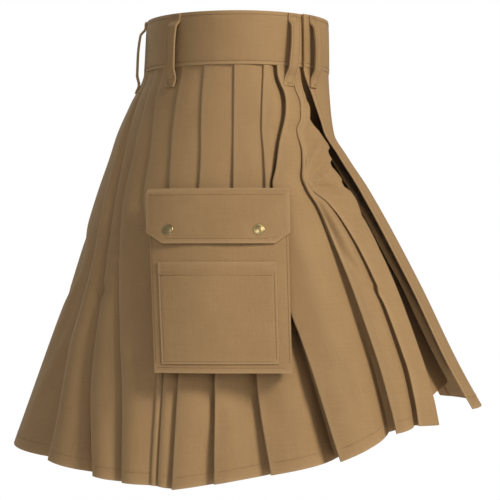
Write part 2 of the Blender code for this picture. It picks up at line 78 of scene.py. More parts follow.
class Held(Enum):
    """How a piece of cloth is held."""

    GATHERED = "gathered"
    HUNG = "hung"
    STRETCHED = "stretched"


class Side(Enum):
    """Which side of the wearer a pocket is on; the value mirrors X."""

    RIGHT = 1.0
    LEFT = -1.0


def mix(start: Number, end: Number, share: Number) -> Number:
    """Blend two numbers or arrays.

    Args:
        start: Value at share 0.
        end: Value at share 1.
        share: How far along, 0 to 1.

    Returns:
        The blended value.
    """
    return start + (end - start) * share


def smooth(share: np.ndarray) -> np.ndarray:
    """Ease a share in and out, held between 0 and 1."""
    held = np.clip(share, 0.0, 1.0)
    return held * held * (3.0 - 2.0 * held)


class SmoothLine:
    """A smooth curve through knots, with no overshoot between them."""

    def __init__(self, knots: list[tuple[float, float]]) -> None:
        """Store the knots and work out a slope at each.

        Args:
            knots: (place, value) pairs with rising places.
        """
        self.places = np.array([knot[0] for knot in knots], float)
        self.values = np.array([knot[1] for knot in knots], float)
        rises = np.diff(self.values) / np.diff(self.places)
        slopes = np.zeros(len(knots))
        slopes[0], slopes[-1] = rises[0], rises[-1]
        for index in range(1, len(knots) - 1):
            before, after = rises[index - 1], rises[index]
            if before * after > 0.0:
                slopes[index] = 2.0 * before * after / (before + after)
        self.slopes = slopes

    def at(self, place) -> np.ndarray:
        """Read the curve.

        Args:
            place: One place or an array of them; outside the knots the end value holds.

        Returns:
            The value at each place.
        """
        held = np.clip(place, self.places[0], self.places[-1])
        index = np.clip(np.searchsorted(self.places, held) - 1, 0, len(self.places) - 2)
        span = self.places[index + 1] - self.places[index]
        t = (held - self.places[index]) / span
        low, high = self.values[index], self.values[index + 1]
        rise = (1 + 2 * t) * (1 - t) ** 2 * low + t * t * (3 - 2 * t) * high
        return rise + span * (t * (1 - t) ** 2 * self.slopes[index] - t * t * (1 - t) * self.slopes[index + 1])


@dataclass(frozen=True)
class Crease:
    """A soft ridge (depth above 0) or trough in the cloth, from one place to another."""

    angle: float
    drop: float
    end_angle: float
    end_drop: float
    width: float
    depth: float
    bend: float = 0.0


@dataclass
class Outline:
    """The filled-out form: half sizes and squareness at each drop, with its creases."""

    sections: tuple[tuple[float, float, float, float, float], ...] = (
        (0.000, 0.1150, 0.1200, 0.1540, 2.0),
        (0.068, 0.1160, 0.1240, 0.1560, 2.0),
        (0.110, 0.1180, 0.1425, 0.1620, 2.4),
        (0.150, 0.1225, 0.1595, 0.1690, 2.9),
        (0.180, 0.1395, 0.1690, 0.1770, 3.0),
        (0.225, 0.1690, 0.1845, 0.1880, 3.0),
        (0.343, 0.2330, 0.2210, 0.2190, 3.0),
        (0.460, 0.2900, 0.2600, 0.2500, 2.9),
        (0.600, 0.3710, 0.3080, 0.2880, 2.9),
    )
    back_power: float = 2.0
    creases: tuple[Crease, ...] = ()

    def __post_init__(self) -> None:
        """Turn the section table's columns into smooth curves."""
        columns = list(zip(*self.sections))
        drops = columns[0]
        self.front, self.back, self.side, self.power = (
            SmoothLine(list(zip(drops, column))) for column in columns[1:]
        )

    def unrolled(self, angle, drop) -> np.ndarray:
        """Distance round the garment from the right side, in metres."""
        return np.radians(angle) * (0.150 + 0.240 * np.asarray(drop))

    def relief(self, angle, drop) -> np.ndarray:
        """How far the creases move the cloth out at each place.

        Args:
            angle: Degrees round the garment.
            drop: Metres below the band's top.

        Returns:
            The outward move in metres.
        """
        along = self.unrolled(angle, drop)
        total = np.zeros(np.broadcast(angle, drop).shape)
        for crease in self.creases:
            ax, ay = self.unrolled(crease.angle, crease.drop), crease.drop
            bx, by = self.unrolled(crease.end_angle, crease.end_drop), crease.end_drop
            length = math.hypot(bx - ax, by - ay)
            ux, uy = (bx - ax) / length, (by - ay) / length
            share = ((along - ax) * ux + (drop - ay) * uy) / length
            inside = np.clip(share, 0.0, 1.0)
            away = (along - ax) * uy - (drop - ay) * ux - crease.bend * 4.0 * inside * (1.0 - inside)
            taper = np.sin(np.pi * inside) ** 0.8
            total = total + crease.depth * taper * np.exp(-((away / crease.width) ** 2))
        return total

    def push_out(self, x, y, drop, level, is_back) -> np.ndarray:
        """Move points of the outline along its outward normal.

        Args:
            x: Across, in metres.
            y: Along, in metres.
            drop: Metres below the band's top.
            level: Metres outward.
            is_back: Where the back half's curve applies.

        Returns:
            Points, with a last axis of three.
        """
        side = self.side.at(drop)
        depth = np.where(is_back, self.back.at(drop), self.front.at(drop))
        power = np.where(is_back, self.back_power, self.power.at(drop))
        across = np.sign(x) * np.abs(x / side) ** (power - 1.0) / side
        along = np.sign(y) * np.abs(y / depth) ** (power - 1.0) / depth
        size = np.hypot(across, along)
        height = -np.asarray(drop) + 0.0 * x
        return np.stack([x + across / size * level, y + along / size * level, height], axis=-1)

    def ring(self, angle, drop, level, crease_share: float = 1.0) -> np.ndarray:
        """Points round the garment: 0 degrees is the right side, 90 the back.

        Args:
            angle: Degrees round.
            drop: Metres below the band's top.
            level: Metres outward from the outline.
            crease_share: How much of the creases to follow.

        Returns:
            Points, with a last axis of three.
        """
        angle, drop, level = np.broadcast_arrays(np.asarray(angle, float), drop, level)
        sine, cosine = np.sin(np.radians(angle)), np.cos(np.radians(angle))
        is_back = sine > 0.0
        depth = np.where(is_back, self.back.at(drop), self.front.at(drop))
        power = np.where(is_back, self.back_power, self.power.at(drop))
        reach = np.maximum(1.0 - np.abs(sine) ** power, TINY) ** (1.0 / power)
        x = -np.sign(cosine + TINY) * self.side.at(drop) * reach
        if crease_share:
            level = level + crease_share * self.relief(angle, drop)
        return self.push_out(x, depth * sine, drop, level, is_back)

    def front_at(self, x, drop, level, crease_share: float = 1.0) -> np.ndarray:
        """Points of the front at given distances across, with the same arguments as ring."""
        x, drop, level = np.broadcast_arrays(np.asarray(x, float), drop, level)
        share = np.minimum(np.abs(x / self.side.at(drop)), 1.0)
        power = self.power.at(drop)
        sine = -np.maximum(1.0 - share**power, TINY) ** (1.0 / power)
        turn = np.degrees(np.arcsin(np.clip(sine, -1.0, 1.0)))
        angle = np.where(x < 0.0, turn, 180.0 - turn)
        if crease_share:
            level = level + crease_share * self.relief(angle, drop)
        return self.push_out(x, self.front.at(drop) * sine, drop, level, False)

    def side_at(self, y, drop, level, crease_share: float = 0.0) -> np.ndarray:
        """Points of the right side at given distances along, with the same arguments as ring."""
        y, drop, level = np.broadcast_arrays(np.asarray(y, float), drop, level)
        is_back = y > 0.0
        depth = np.where(is_back, self.back.at(drop), self.front.at(drop))
        power = np.where(is_back, self.back_power, self.power.at(drop))
        share = np.clip(np.abs(y / depth), 0.0, 1.0)
        x = -self.side.at(drop) * np.maximum(1.0 - share**power, TINY) ** (1.0 / power)
        if crease_share:
            angle = np.degrees(np.arcsin(np.clip(y / depth, -1.0, 1.0)))
            level = level + crease_share * self.relief(angle, drop)
        return self.push_out(x, y, drop, level, is_back)

    def degrees_for(self, distance, angle, drop) -> np.ndarray:
        """How many degrees a distance takes round the outline."""
        ahead = self.ring(np.asarray(angle) + 0.5, drop, 0.0, 0.0)
        behind = self.ring(np.asarray(angle) - 0.5, drop, 0.0, 0.0)
        return distance / np.linalg.norm(ahead - behind, axis=-1)


def linear_colour(code: str) -> tuple[float, float, float, float]:
    """Turn an sRGB hex colour into linear light.

    Args:
        code: A colour such as "#A5855C".

    Returns:
        Red, green, blue and alpha.
    """
    parts = [int(code[index : index + 2], 16) / 255.0 for index in (1, 3, 5)]
    light = [part / 12.92 if part <= 0.04045 else ((part + 0.055) / 1.055) ** 2.4 for part in parts]
    return (*light, 1.0)


def add_node(tree: bpy.types.NodeTree, kind: str, settings: dict, inputs: dict) -> bpy.types.Node:
    """Add one shader node with its settings and links.

    Args:
        tree: The tree that it goes in.
        kind: Blender's name for the node's type.
        settings: Properties to set by name.
        inputs: Sockets by name or number, each a value or a socket to link from.

    Returns:
        The new node.
    """
    made = tree.nodes.new(kind)
    for name, value in settings.items():
        setattr(made, name, value)
    for name, value in inputs.items():
        if isinstance(value, bpy.types.NodeSocket):
            tree.links.new(value, made.inputs[name])
        else:
            made.inputs[name].default_value = value
    return made


def ramp_node(tree: bpy.types.NodeTree, source: bpy.types.NodeSocket, stops: list) -> bpy.types.Node:
    """Add a colour ramp.

    Args:
        tree: The tree that it goes in.
        source: The socket that drives it.
        stops: (position, colour) pairs, two of them.

    Returns:
        The ramp node.
    """
    made = add_node(tree, "ShaderNodeValToRGB", {}, {"Fac": source})
    for element, (position, colour) in zip(made.color_ramp.elements, stops):
        element.position = position
        element.color = colour
    return made


def wave_scale(period: float) -> float:
    """Scale at which Blender's diagonal wave repeats every period metres."""
    return 0.4443 / period


@dataclass(frozen=True)
class TwillFinish:
    """Piece-dyed cotton twill: a matt face with a steep fine diagonal drawn partly as painted light and shade, and
    edges painted paler, partly as rubbing and partly as a painted highlight.
    """

    name: str = "khaki_cotton_twill"
    ground: str = "#A9885D"
    shade: str = "#9C7C53"
    # Paler colour painted on folds, hems and edges: partly rubbing, partly a painted highlight
    rubbed_and_highlight: str = "#BC9D74"
    roughness: float = 0.82
    # The real wale is 0.6 mm, finer than a pixel, so it is drawn three times as coarse
    wale: float = 0.0019
    yarn: float = 0.0011
    slub: float = 0.0024

    def streak(self, tree: bpy.types.NodeTree, place: bpy.types.NodeSocket, stretch: tuple) -> bpy.types.NodeSocket:
        """Noise drawn out along one set of yarns.

        Args:
            tree: The material's tree.
            place: The flat cloth's coordinates, in metres.
            stretch: Scale of the noise along each axis.

        Returns:
            The noise's socket.
        """
        drawn = add_node(tree, "ShaderNodeMapping", {}, {"Vector": place, "Scale": stretch})
        noise = add_node(
            tree,
            "ShaderNodeTexNoise",
            {},
            {"Vector": drawn.outputs["Vector"], "Scale": 1.0 / self.slub, "Detail": 3.0, "Roughness": 0.6},
        )
        return noise.outputs["Fac"]

    def material(self) -> bpy.types.Material:
        """Build the material once and share it between the pieces."""
        if self.name in bpy.data.materials:
            return bpy.data.materials[self.name]
        made = bpy.data.materials.new(self.name)
        made.use_nodes = True
        tree = made.node_tree
        shader = tree.nodes["Principled BSDF"]
        place = add_node(tree, "ShaderNodeUVMap", {"uv_map": "flat"}, {}).outputs["UV"]
        body = add_node(tree, "ShaderNodeTexCoord", {}, {}).outputs["Object"]
        # Uneven dye and handling show as broad, faint patches
        patches = add_node(
            tree, "ShaderNodeTexNoise", {}, {"Vector": body, "Scale": 17.0, "Detail": 5.0, "Roughness": 0.62}
        )
        fleck = add_node(
            tree, "ShaderNodeTexNoise", {}, {"Vector": place, "Scale": 1.0 / self.yarn, "Detail": 2.0}
        )
        # Thicker yarns run as faint streaks along the warp and across it
        warp = self.streak(tree, place, (1.0, 0.06, 1.0))
        weft = self.streak(tree, place, (0.06, 1.0, 1.0))
        # The diagonal wale, as a fine bump and as painted light and shade in fine slanting lines
        turned = add_node(
            tree, "ShaderNodeMapping", {}, {"Vector": place, "Rotation": (0.0, 0.0, math.radians(18.0))}
        )
        wale = add_node(
            tree,
            "ShaderNodeTexWave",
            {"bands_direction": "DIAGONAL"},
            {"Vector": turned.outputs["Vector"], "Scale": wave_scale(self.wale), "Distortion": 1.2, "Detail": 1.0},
        )
        crossed = add_node(tree, "ShaderNodeMath", {"operation": "ADD"}, {0: warp, 1: weft})
        uneven = add_node(
            tree, "ShaderNodeMath", {"operation": "MULTIPLY_ADD"}, {0: crossed.outputs[0], 1: 0.22, 2: 0.14}
        )
        spread = add_node(
            tree,
            "ShaderNodeMath",
            {"operation": "MULTIPLY_ADD"},
            {0: patches.outputs["Fac"], 1: 0.28, 2: uneven.outputs[0]},
        )
        base = ramp_node(
            tree, spread.outputs[0], [(0.38, linear_colour(self.shade)), (0.62, linear_colour(self.ground))]
        )
        tone = ramp_node(
            tree, fleck.outputs["Fac"], [(0.30, (0.88, 0.88, 0.88, 1.0)), (0.70, (1.06, 1.06, 1.06, 1.0))]
        )
        woven = add_node(
            tree,
            "ShaderNodeMix",
            {"data_type": "RGBA", "blend_type": "MULTIPLY"},
            {0: 1.0, 6: base.outputs["Color"], 7: tone.outputs["Color"]},
        )
        # Painted light and shade: the wale's lit and shaded sides as paler and darker slanting lines
        lines = ramp_node(
            tree, wale.outputs["Color"], [(0.2, (0.93, 0.93, 0.93, 1.0)), (0.8, (1.03, 1.03, 1.03, 1.0))]
        )
        wale_shaded = add_node(
            tree,
            "ShaderNodeMix",
            {"data_type": "RGBA", "blend_type": "MULTIPLY"},
            {0: 1.0, 6: woven.outputs[2], 7: lines.outputs["Color"]},
        )
        # Pressed folds and hems are painted a little paler: partly rubbing, partly a painted highlight where light
        # catches the fold edges
        wear_and_highlight = add_node(tree, "ShaderNodeAttribute", {"attribute_name": "wear_and_highlight"}, {})
        amount = add_node(tree, "ShaderNodeMath", {"operation": "MULTIPLY"}, {0: wear_and_highlight.outputs["Fac"], 1: 0.40})
        rubbed_and_highlight = add_node(
            tree,
            "ShaderNodeMix",
            {"data_type": "RGBA"},
            {0: amount.outputs[0], 6: wale_shaded.outputs[2], 7: linear_colour(self.rubbed_and_highlight)},
        )
        tree.links.new(rubbed_and_highlight.outputs[2], shader.inputs["Base Color"])
        slub = add_node(
            tree, "ShaderNodeTexNoise", {}, {"Vector": body, "Scale": 55.0, "Detail": 4.0, "Roughness": 0.6}
        )
        soft = add_node(
            tree, "ShaderNodeBump", {"invert": False}, {"Height": slub.outputs["Fac"], "Strength": 0.35, "Distance": 0.0016}
        )
        grain = add_node(
            tree,
            "ShaderNodeBump",
            {"invert": False},
            {
                "Height": wale.outputs["Color"],
                "Strength": 0.30,
                "Distance": 0.00025,
                "Normal": soft.outputs["Normal"],
            },
        )
        tree.links.new(grain.outputs["Normal"], shader.inputs["Normal"])
        shader.inputs["Roughness"].default_value = self.roughness
        shader.inputs["Specular IOR Level"].default_value = 0.35
        shader.inputs["Sheen Weight"].default_value = 0.12
        shader.inputs["Sheen Roughness"].default_value = 0.45
        shader.inputs["Sheen Tint"].default_value = linear_colour("#D8BE98")
        return made


@dataclass(frozen=True)
class ThreadFinish:
    """Spun polyester topstitching thread: close to the cloth's colour, with a faint shine."""

    name: str = "spun_polyester_thread"
    colour: str = "#8B6C46"
    roughness: float = 0.55

    def material(self) -> bpy.types.Material:
        """Build the material once and share it between the seams."""
        if self.name in bpy.data.materials:
            return bpy.data.materials[self.name]
        made = bpy.data.materials.new(self.name)
        made.use_nodes = True
        tree = made.node_tree
        shader = tree.nodes["Principled BSDF"]
        body = add_node(tree, "ShaderNodeTexCoord", {}, {}).outputs["Object"]
        # Painted light and shade: noise makes the thread alternately lighter and darker along it, standing in for how
        # light falls on its two twisted plies
        ply_light_and_shade = add_node(tree, "ShaderNodeTexNoise", {}, {"Vector": body, "Scale": 900.0, "Detail": 1.0})
        tone = ramp_node(
            tree, ply_light_and_shade.outputs["Fac"], [(0.35, linear_colour("#7B5E3B")), (0.65, linear_colour(self.colour))]
        )
        tree.links.new(tone.outputs["Color"], shader.inputs["Base Color"])
        shader.inputs["Roughness"].default_value = self.roughness
        return made


@dataclass(frozen=True)
class BrassFinish:
    """Stamped and tumbled brass: a warm metal with soft highlights and faint handling marks."""

    name: str = "stamped_brass"
    bright: str = "#D3BC8A"
    dull: str = "#A88F5C"

    def material(self) -> bpy.types.Material:
        """Build the material once and share it between the studs."""
        if self.name in bpy.data.materials:
            return bpy.data.materials[self.name]
        made = bpy.data.materials.new(self.name)
        made.use_nodes = True
        tree = made.node_tree
        shader = tree.nodes["Principled BSDF"]
        body = add_node(tree, "ShaderNodeTexCoord", {}, {}).outputs["Object"]
        marks = add_node(tree, "ShaderNodeTexNoise", {}, {"Vector": body, "Scale": 420.0, "Detail": 5.0})
        tone = ramp_node(
            tree, marks.outputs["Fac"], [(0.30, linear_colour(self.dull)), (0.65, linear_colour(self.bright))]
        )
        gloss = ramp_node(
            tree, marks.outputs["Fac"], [(0.3, (0.42, 0.42, 0.42, 1.0)), (0.7, (0.24, 0.24, 0.24, 1.0))]
        )
        tree.links.new(tone.outputs["Color"], shader.inputs["Base Color"])
        tree.links.new(gloss.outputs["Color"], shader.inputs["Roughness"])
        shader.inputs["Metallic"].default_value = 1.0
        return made


def sheet_normals(points: np.ndarray) -> np.ndarray:
    """Unit normals of a grid of points, across its columns then its rows."""
    across = np.gradient(points, axis=1)
    down = np.gradient(points, axis=0)
    normals = np.cross(across, down)
    return normals / np.maximum(np.linalg.norm(normals, axis=-1, keepdims=True), TINY)


def link_mesh(name: str, vertices: np.ndarray, faces: list) -> bpy.types.Object:
    """Make a mesh object from plain lists and link it, at the origin."""
    mesh = bpy.data.meshes.new(name)
    mesh.from_pydata(vertices.reshape(-1, 3).tolist(), [], faces)
    made = bpy.data.objects.new(name, mesh)
    bpy.context.scene.collection.objects.link(made)
    return made


def smooth_shading(piece: bpy.types.Object, degrees: float = 50.0) -> None:
    """Shade a piece smooth, with crisp edges above an angle.

    Args:
        piece: The object to shade.
        degrees: Edges sharper than this stay crisp.
    """
    bpy.ops.object.select_all(action="DESELECT")
    piece.select_set(True)
    bpy.context.view_layer.objects.active = piece
    bpy.ops.object.shade_smooth_by_angle(angle=math.radians(degrees))
    piece.select_set(False)


def grid_faces(rows: int, columns: int, start: int, turned: bool) -> np.ndarray:
    """Quads of a grid whose vertices run row by row.

    Args:
        rows: Rows of vertices.
        columns: Vertices in a row.
        start: Number of the first vertex.
        turned: Whether the quads face the other way.

    Returns:
        An array of vertex numbers, four to a quad.
    """
    first = start + np.arange(rows - 1)[:, None] * columns + np.arange(columns - 1)[None, :]
    quads = np.stack([first, first + 1, first + columns + 1, first + columns], axis=-1).reshape(-1, 4)
    return quads[:, ::-1] if turned else quads


def cloth_shell(
    name: str, points: np.ndarray, flat: np.ndarray, wear_and_highlight: np.ndarray, thickness: float
) -> bpy.types.Object:
    """Make a closed thin shell round a sheet of cloth.

    Args:
        name: The piece's name.
        points: Rows and columns of the sheet's middle surface.
        flat: Where each point lies on the flat cloth, in metres.
        wear_and_highlight: How far each point is painted paler, as rubbing and painted highlight, 0 to 1.
        thickness: The cloth's thickness.

    Returns:
        The piece, dressed in twill.
    """
    rows, columns = points.shape[:2]
    normals = sheet_normals(points)
    front = points + normals * thickness * 0.5
    back = points - normals * thickness * 0.5
    count = rows * columns
    numbers = np.arange(count).reshape(rows, columns)
    faces = [grid_faces(rows, columns, 0, False), grid_faces(rows, columns, count, True)]
    for edge, turned in (
        (numbers[0], False),
        (numbers[-1], True),
        (numbers[:, 0], True),
        (numbers[:, -1], False),
    ):
        quads = np.stack([edge[:-1], edge[:-1] + count, edge[1:] + count, edge[1:]], axis=-1)
        faces.append(quads[:, ::-1] if turned else quads)
    vertices = np.concatenate([front.reshape(-1, 3), back.reshape(-1, 3)])
    piece = link_mesh(f"{name}_twill", vertices, np.concatenate(faces).tolist())
    lay_flat(piece, np.concatenate([flat.reshape(-1, 2)] * 2), np.concatenate([wear_and_highlight.reshape(-1)] * 2))
    smooth_shading(piece)
    piece.data.materials.append(TwillFinish().material())
    return piece


def lay_flat(piece: bpy.types.Object, flat: np.ndarray, wear_and_highlight: np.ndarray) -> None:
    """Store each vertex's place on the flat cloth and how far it is painted paler, as rubbing and painted highlight.

    Args:
        piece: The object.
        flat: Place on the flat cloth for each vertex, in metres.
        wear_and_highlight: How far each vertex is painted paler, as rubbing and painted highlight, 0 to 1.
    """
    mesh = piece.data
    corners = np.zeros(len(mesh.loops), int)
    mesh.loops.foreach_get("vertex_index", corners)
    layer = mesh.uv_layers.new(name="flat")
    layer.data.foreach_set("uv", flat[corners].astype(np.float32).ravel())
    rubbed_and_highlight = mesh.attributes.new("wear_and_highlight", "FLOAT", "POINT")
    rubbed_and_highlight.data.foreach_set("value", wear_and_highlight.astype(np.float32))


def finish_cloth(
    piece: bpy.types.Object,
    nodes: tuple[str, ...],
    flat: tuple[float, float],
) -> None:
    """Attach a cloth piece to the root, hide the CAD nodes that it stands for and log the size of its flat cut.

    Args:
        piece: The object.
        nodes: CAD nodes that it stands for.
        flat: Width and length of the flat cut, in metres.
    """
    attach(piece, "root")
    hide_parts(*nodes)
    LOG.info("%s: %d faces, cut %.3f by %.3f m", piece.name, len(piece.data.polygons), *flat)


def path_length(points: np.ndarray) -> np.ndarray:
    """Running length along the second-last axis of points."""
    steps = np.linalg.norm(np.diff(points, axis=-2), axis=-1)
    return np.concatenate([np.zeros((*steps.shape[:-1], 1)), np.cumsum(steps, axis=-1)], axis=-1)


@dataclass
class Seamstress:
    """Sews topstitching: short thread stitches along paths on the cloth."""

    pitch: float = 0.0034
    stitch: float = 0.0026
    # Real thread is 0.35 mm thick; it is drawn a little stouter so that it shows
    radius: float = 0.00032
    sides: int = 5
    runs: dict = field(default_factory=dict)

    def sew(self, name: str, path: np.ndarray) -> None:
        """Lay one run of stitches.

        Args:
            name: The piece that the stitches belong to.
            path: Points on the cloth's face.
        """
        length = path_length(path)
        count = int((length[-1] - self.stitch) / self.pitch)
        starts = np.arange(max(count, 0)) * self.pitch + 0.0004
        ends = starts + self.stitch
        begin = np.stack([np.interp(starts, length, path[:, axis]) for axis in range(3)], axis=-1)
        finish = np.stack([np.interp(ends, length, path[:, axis]) for axis in range(3)], axis=-1)
        self.runs.setdefault(name, []).append((begin, finish))

    def finish(self) -> None:
        """Make one object of thread for each name."""
        turns = np.arange(self.sides) * 2.0 * math.pi / self.sides
        for name, runs in self.runs.items():
            begin = np.concatenate([run[0] for run in runs])
            end = np.concatenate([run[1] for run in runs])
            way = end - begin
            way /= np.maximum(np.linalg.norm(way, axis=-1, keepdims=True), TINY)
            helper = np.where(np.abs(way[:, 2:3]) > 0.9, [[1.0, 0.0, 0.0]], [[0.0, 0.0, 1.0]])
            first = np.cross(way, helper)
            first /= np.linalg.norm(first, axis=-1, keepdims=True)
            second = np.cross(way, first)
            rings = []
            for share, size in ((0.0, 0.45), (0.22, 1.0), (0.78, 1.0), (1.0, 0.45)):
                middle = mix(begin, end, share)[:, None]
                spread = np.cos(turns)[None, :, None] * first[:, None] + np.sin(turns)[None, :, None] * second[:, None]
                rings.append(middle + spread * self.radius * size)
            points = np.stack(rings, axis=1)
            stitches, levels, sides = points.shape[:3]
            faces = []
            for number in range(stitches):
                start = number * levels * sides
                for level in range(levels - 1):
                    low = start + level * sides
                    for side in range(sides):
                        after = (side + 1) % sides
                        faces.append((low + side, low + after, low + sides + after, low + sides + side))
                faces.append(tuple(start + side for side in reversed(range(sides))))
                faces.append(tuple(start + (levels - 1) * sides + side for side in range(sides)))
            piece = link_mesh(name, points, faces)
            piece.data.materials.append(ThreadFinish().material())
            smooth_shading(piece, 70.0)
            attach(piece, "root")
            LOG.info("%s: %d stitches", name, stitches)


@dataclass(frozen=True)
class Fold:
    """One outer fold: its line, hem corner, and how it opens towards the hem."""

    line: tuple[tuple[float, float], ...]
    hem_drop: float
    step: float
    tuck: float
    hip_lift: float
    hem_lift: float
    puff: float = 0.0020
    top_step: float = LAYER_STEP
    top_lift: float = 0.0
    dive: float = 1.5


def plain_line(waist: float, hip: float, middle: float, hem: float, hem_drop: float) -> tuple:
    """Knots of a fold that runs through four angles, from the band down to its hem."""
    return ((BAND_HEIGHT, waist), (HIP_DROP, hip), (MIDDLE_DROP, middle), (hem_drop, hem))


def plain_fold(
    waist: float, hip: float, middle: float, hem: float, hem_drop: float,
    step: float, tuck: float, hip_lift: float, hem_lift: float, puff: float = 0.0020,
) -> Fold:
    """A fold given by its four angles and the way that it opens."""
    line = plain_line(waist, hip, middle, hem, hem_drop)
    return Fold(line, hem_drop, step, tuck, hip_lift, hem_lift, puff)


@dataclass
class PleatedLength:
    """The strip of knife pleats round the right side, back and left, and its rows of layers."""

    outline: Outline
    folds: tuple[Fold, ...]
    pieces: tuple[tuple[str, int], ...] = (
        ("pleats_right", 5),
        ("pleats_back_right", 6),
        ("pleats_back_left", 5),
        ("pleats_left", 5),
    )
    waist_tuck: float = 0.012
    tuck_share: float = 0.55
    row_pitch: float = 0.0052
    face_columns: int = 15
    arc_columns: int = 4
    return_columns: int = 5
    hem_turn: float = 0.014

    def __post_init__(self) -> None:
        """Make the fold lines and the list of rows."""
        self.lines = [SmoothLine(list(fold.line)) for fold in self.folds]
        upper = np.arange(BAND_HEIGHT + SEAM_GAP, MIDDLE_DROP, self.row_pitch)
        lower = np.linspace(0.0, 1.0, 46)
        # Close rows at the hem, about the line of its stitching
        near_hem = [1.0 - step / 0.235 for step in (self.hem_turn + 0.0016, self.hem_turn, self.hem_turn - 0.0016)]
        lower = np.array(sorted(set(lower.tolist()) | set(near_hem)))
        self.places = [(float(drop), 0.0) for drop in upper] + [(None, float(share)) for share in lower]

    def row_drop(self, place: tuple, hem_drop: float) -> float:
        """Drop of a row for cloth that ends at a given hem."""
        fixed, share = place
        return fixed if fixed is not None else mix(MIDDLE_DROP, hem_drop, share)

    def openness(self, place: tuple) -> float:
        """How far a row has left the stitched part: 0 there, 1 at the hem."""
        fixed, share = place
        if fixed is None:
            return mix(0.45, 1.0, share)
        return 0.45 * max(fixed - STITCHED_DROP, 0.0) / (MIDDLE_DROP - STITCHED_DROP)

    def lift(self, fold: Fold, place: tuple) -> float:
        """How far a fold stands out in a row."""
        fixed, share = place
        if fixed is None:
            return mix(fold.hip_lift, fold.hem_lift, share)
        return mix(fold.top_lift, fold.hip_lift, min(max(fixed - 0.09, 0.0) / 0.06, 1.0))

    def rows(self) -> None:
        """Work out every layer's angle, drop and level, row by row."""
        angles, drops, levels = [], [], []
        for place in self.places:
            angle_row, level_row, edges = self.one_row(place)
            corner_drops = [self.row_drop(place, fold.hem_drop) for fold in self.folds]
            fold_angles = self.fold_angles(place)
            angles.append(angle_row)
            levels.append(level_row)
            drops.append(np.interp(angle_row, fold_angles, corner_drops))
            self.edges = edges
        self.angles, self.drops, self.levels = np.array(angles), np.array(drops), np.array(levels)
        self.points = self.outline.ring(self.angles, self.drops, self.levels)

    def fold_angles(self, place: tuple) -> list[float]:
        """Angle of every fold in a row."""
        return [
            float(line.at(self.row_drop(place, fold.hem_drop))) for line, fold in zip(self.lines, self.folds)
        ]

    def one_row(self, place: tuple) -> tuple[np.ndarray, np.ndarray, list]:
        """Angles and levels of all the layers in one row.

        Args:
            place: The row's fixed drop, or None and its share of the way to the hem.

        Returns:
            Angles, levels, and for each pleat the columns where it starts, folds and ends.
        """
        folds = self.fold_angles(place)
        opened = self.openness(place)
        steps = [mix(fold.top_step, fold.step, opened) for fold in self.folds]
        lifts = [self.lift(fold, place) for fold in self.folds]
        puffs = [fold.puff * min(opened * 1.6, 1.0) for fold in self.folds]
        drops = [self.row_drop(place, fold.hem_drop) for fold in self.folds]
        tucks = []
        for index, fold in enumerate(self.folds):
            before = folds[index - 1] if index else folds[0] - 12.0
            length = mix(self.waist_tuck, fold.tuck, opened)
            turn = float(self.outline.degrees_for(length, folds[index], drops[index]))
            tucks.append(min(turn, self.tuck_share * (folds[index] - before)))

        def face(index: int, angle: np.ndarray) -> np.ndarray:
            """Level of a pleat's face, which bellies out a little between its folds."""
            bottom = -2.0 * steps[index - 1] + lifts[index - 1]
            share = np.clip((angle - folds[index - 1]) / (folds[index] - folds[index - 1]), 0.0, 1.0)
            belly = np.sin(np.pi * share**1.4)
            # The face dives under the fold beside it, more steeply where that fold stands off
            risen = 1.0 - (1.0 - share) ** self.folds[index - 1].dive
            return mix(bottom, lifts[index], risen) + puffs[index] * belly

        angle_row, level_row, edges = [], [], []
        for index in range(1, len(folds)):
            start, fold = folds[index - 1], folds[index]
            inner = start - tucks[index - 1]
            bottom = -2.0 * steps[index - 1] + lifts[index - 1]
            hidden = 0.0
            if index > 1 and tucks[index - 1] > 0.0:
                hidden = float(face(index - 1, np.array(inner))) - lifts[index - 1]
            emerging = max(start, inner + 0.5)
            first = len(angle_row)
            angle_row += [inner, mix(inner, emerging, 0.5)]
            level_row += [bottom + hidden, bottom + hidden * 0.5]
            shares = np.linspace(0.0, 1.0, self.face_columns) ** 0.9
            places = mix(emerging, fold, shares)
            face_levels = face(index, places)
            angle_row += places.tolist()
            level_row += face_levels.tolist()
            fold_column = len(angle_row) - 1
            nose = float(self.outline.degrees_for(LAYER_STEP * 0.5, fold, drops[index]))
            for turn in np.linspace(0.0, math.pi, self.arc_columns + 2)[1:]:
                angle_row.append(fold + nose * math.sin(turn))
                level_row.append(lifts[index] - LAYER_STEP * 0.5 * (1.0 - math.cos(turn)))
            end = fold - tucks[index]
            depth = 2.0 * steps[index] - LAYER_STEP
            for share in np.linspace(0.0, 1.0, self.return_columns)[1:]:
                angle = mix(fold, end, share)
                follow = float(face(index, np.array(angle))) if tucks[index] > 0.0 else lifts[index]
                angle_row.append(angle)
                level_row.append(follow - mix(LAYER_STEP, depth, share))
            edges.append((first, fold_column, len(angle_row) - 1))
            if index < len(folds) - 1:
                share = min(max(tucks[index], 0.0), 1.0)
                inner_nose = float(self.outline.degrees_for(LAYER_STEP * 0.5, end, drops[index])) * share
                angle_row.append(end - inner_nose)
                level_row.append(level_row[-1] - LAYER_STEP * 0.5)
        return np.array(angle_row), np.array(level_row), edges

    def build(self, thread: Seamstress) -> None:
        """Make the four pieces and their hem stitching.

        Args:
            thread: Sews the hem.
        """
        self.rows()
        running = path_length(self.points)
        down = np.cumsum(np.gradient(self.drops, axis=0), axis=0) * 1.03
        first = 0
        for name, count in self.pieces:
            left = self.edges[first][0]
            right = self.edges[first + count - 1][2]
            flat = np.zeros((*self.angles.shape, 2))
            wear_and_highlight = np.zeros(self.angles.shape)
            cut = 0.0
            for index in range(first, first + count):
                start, fold, end = self.edges[index]
                span = slice(start, end + 2)
                cut += float((running[-1, end] - running[-1, start]))
                flat[:, span, 0] = running[:, span] - running[:, fold : fold + 1] + cut
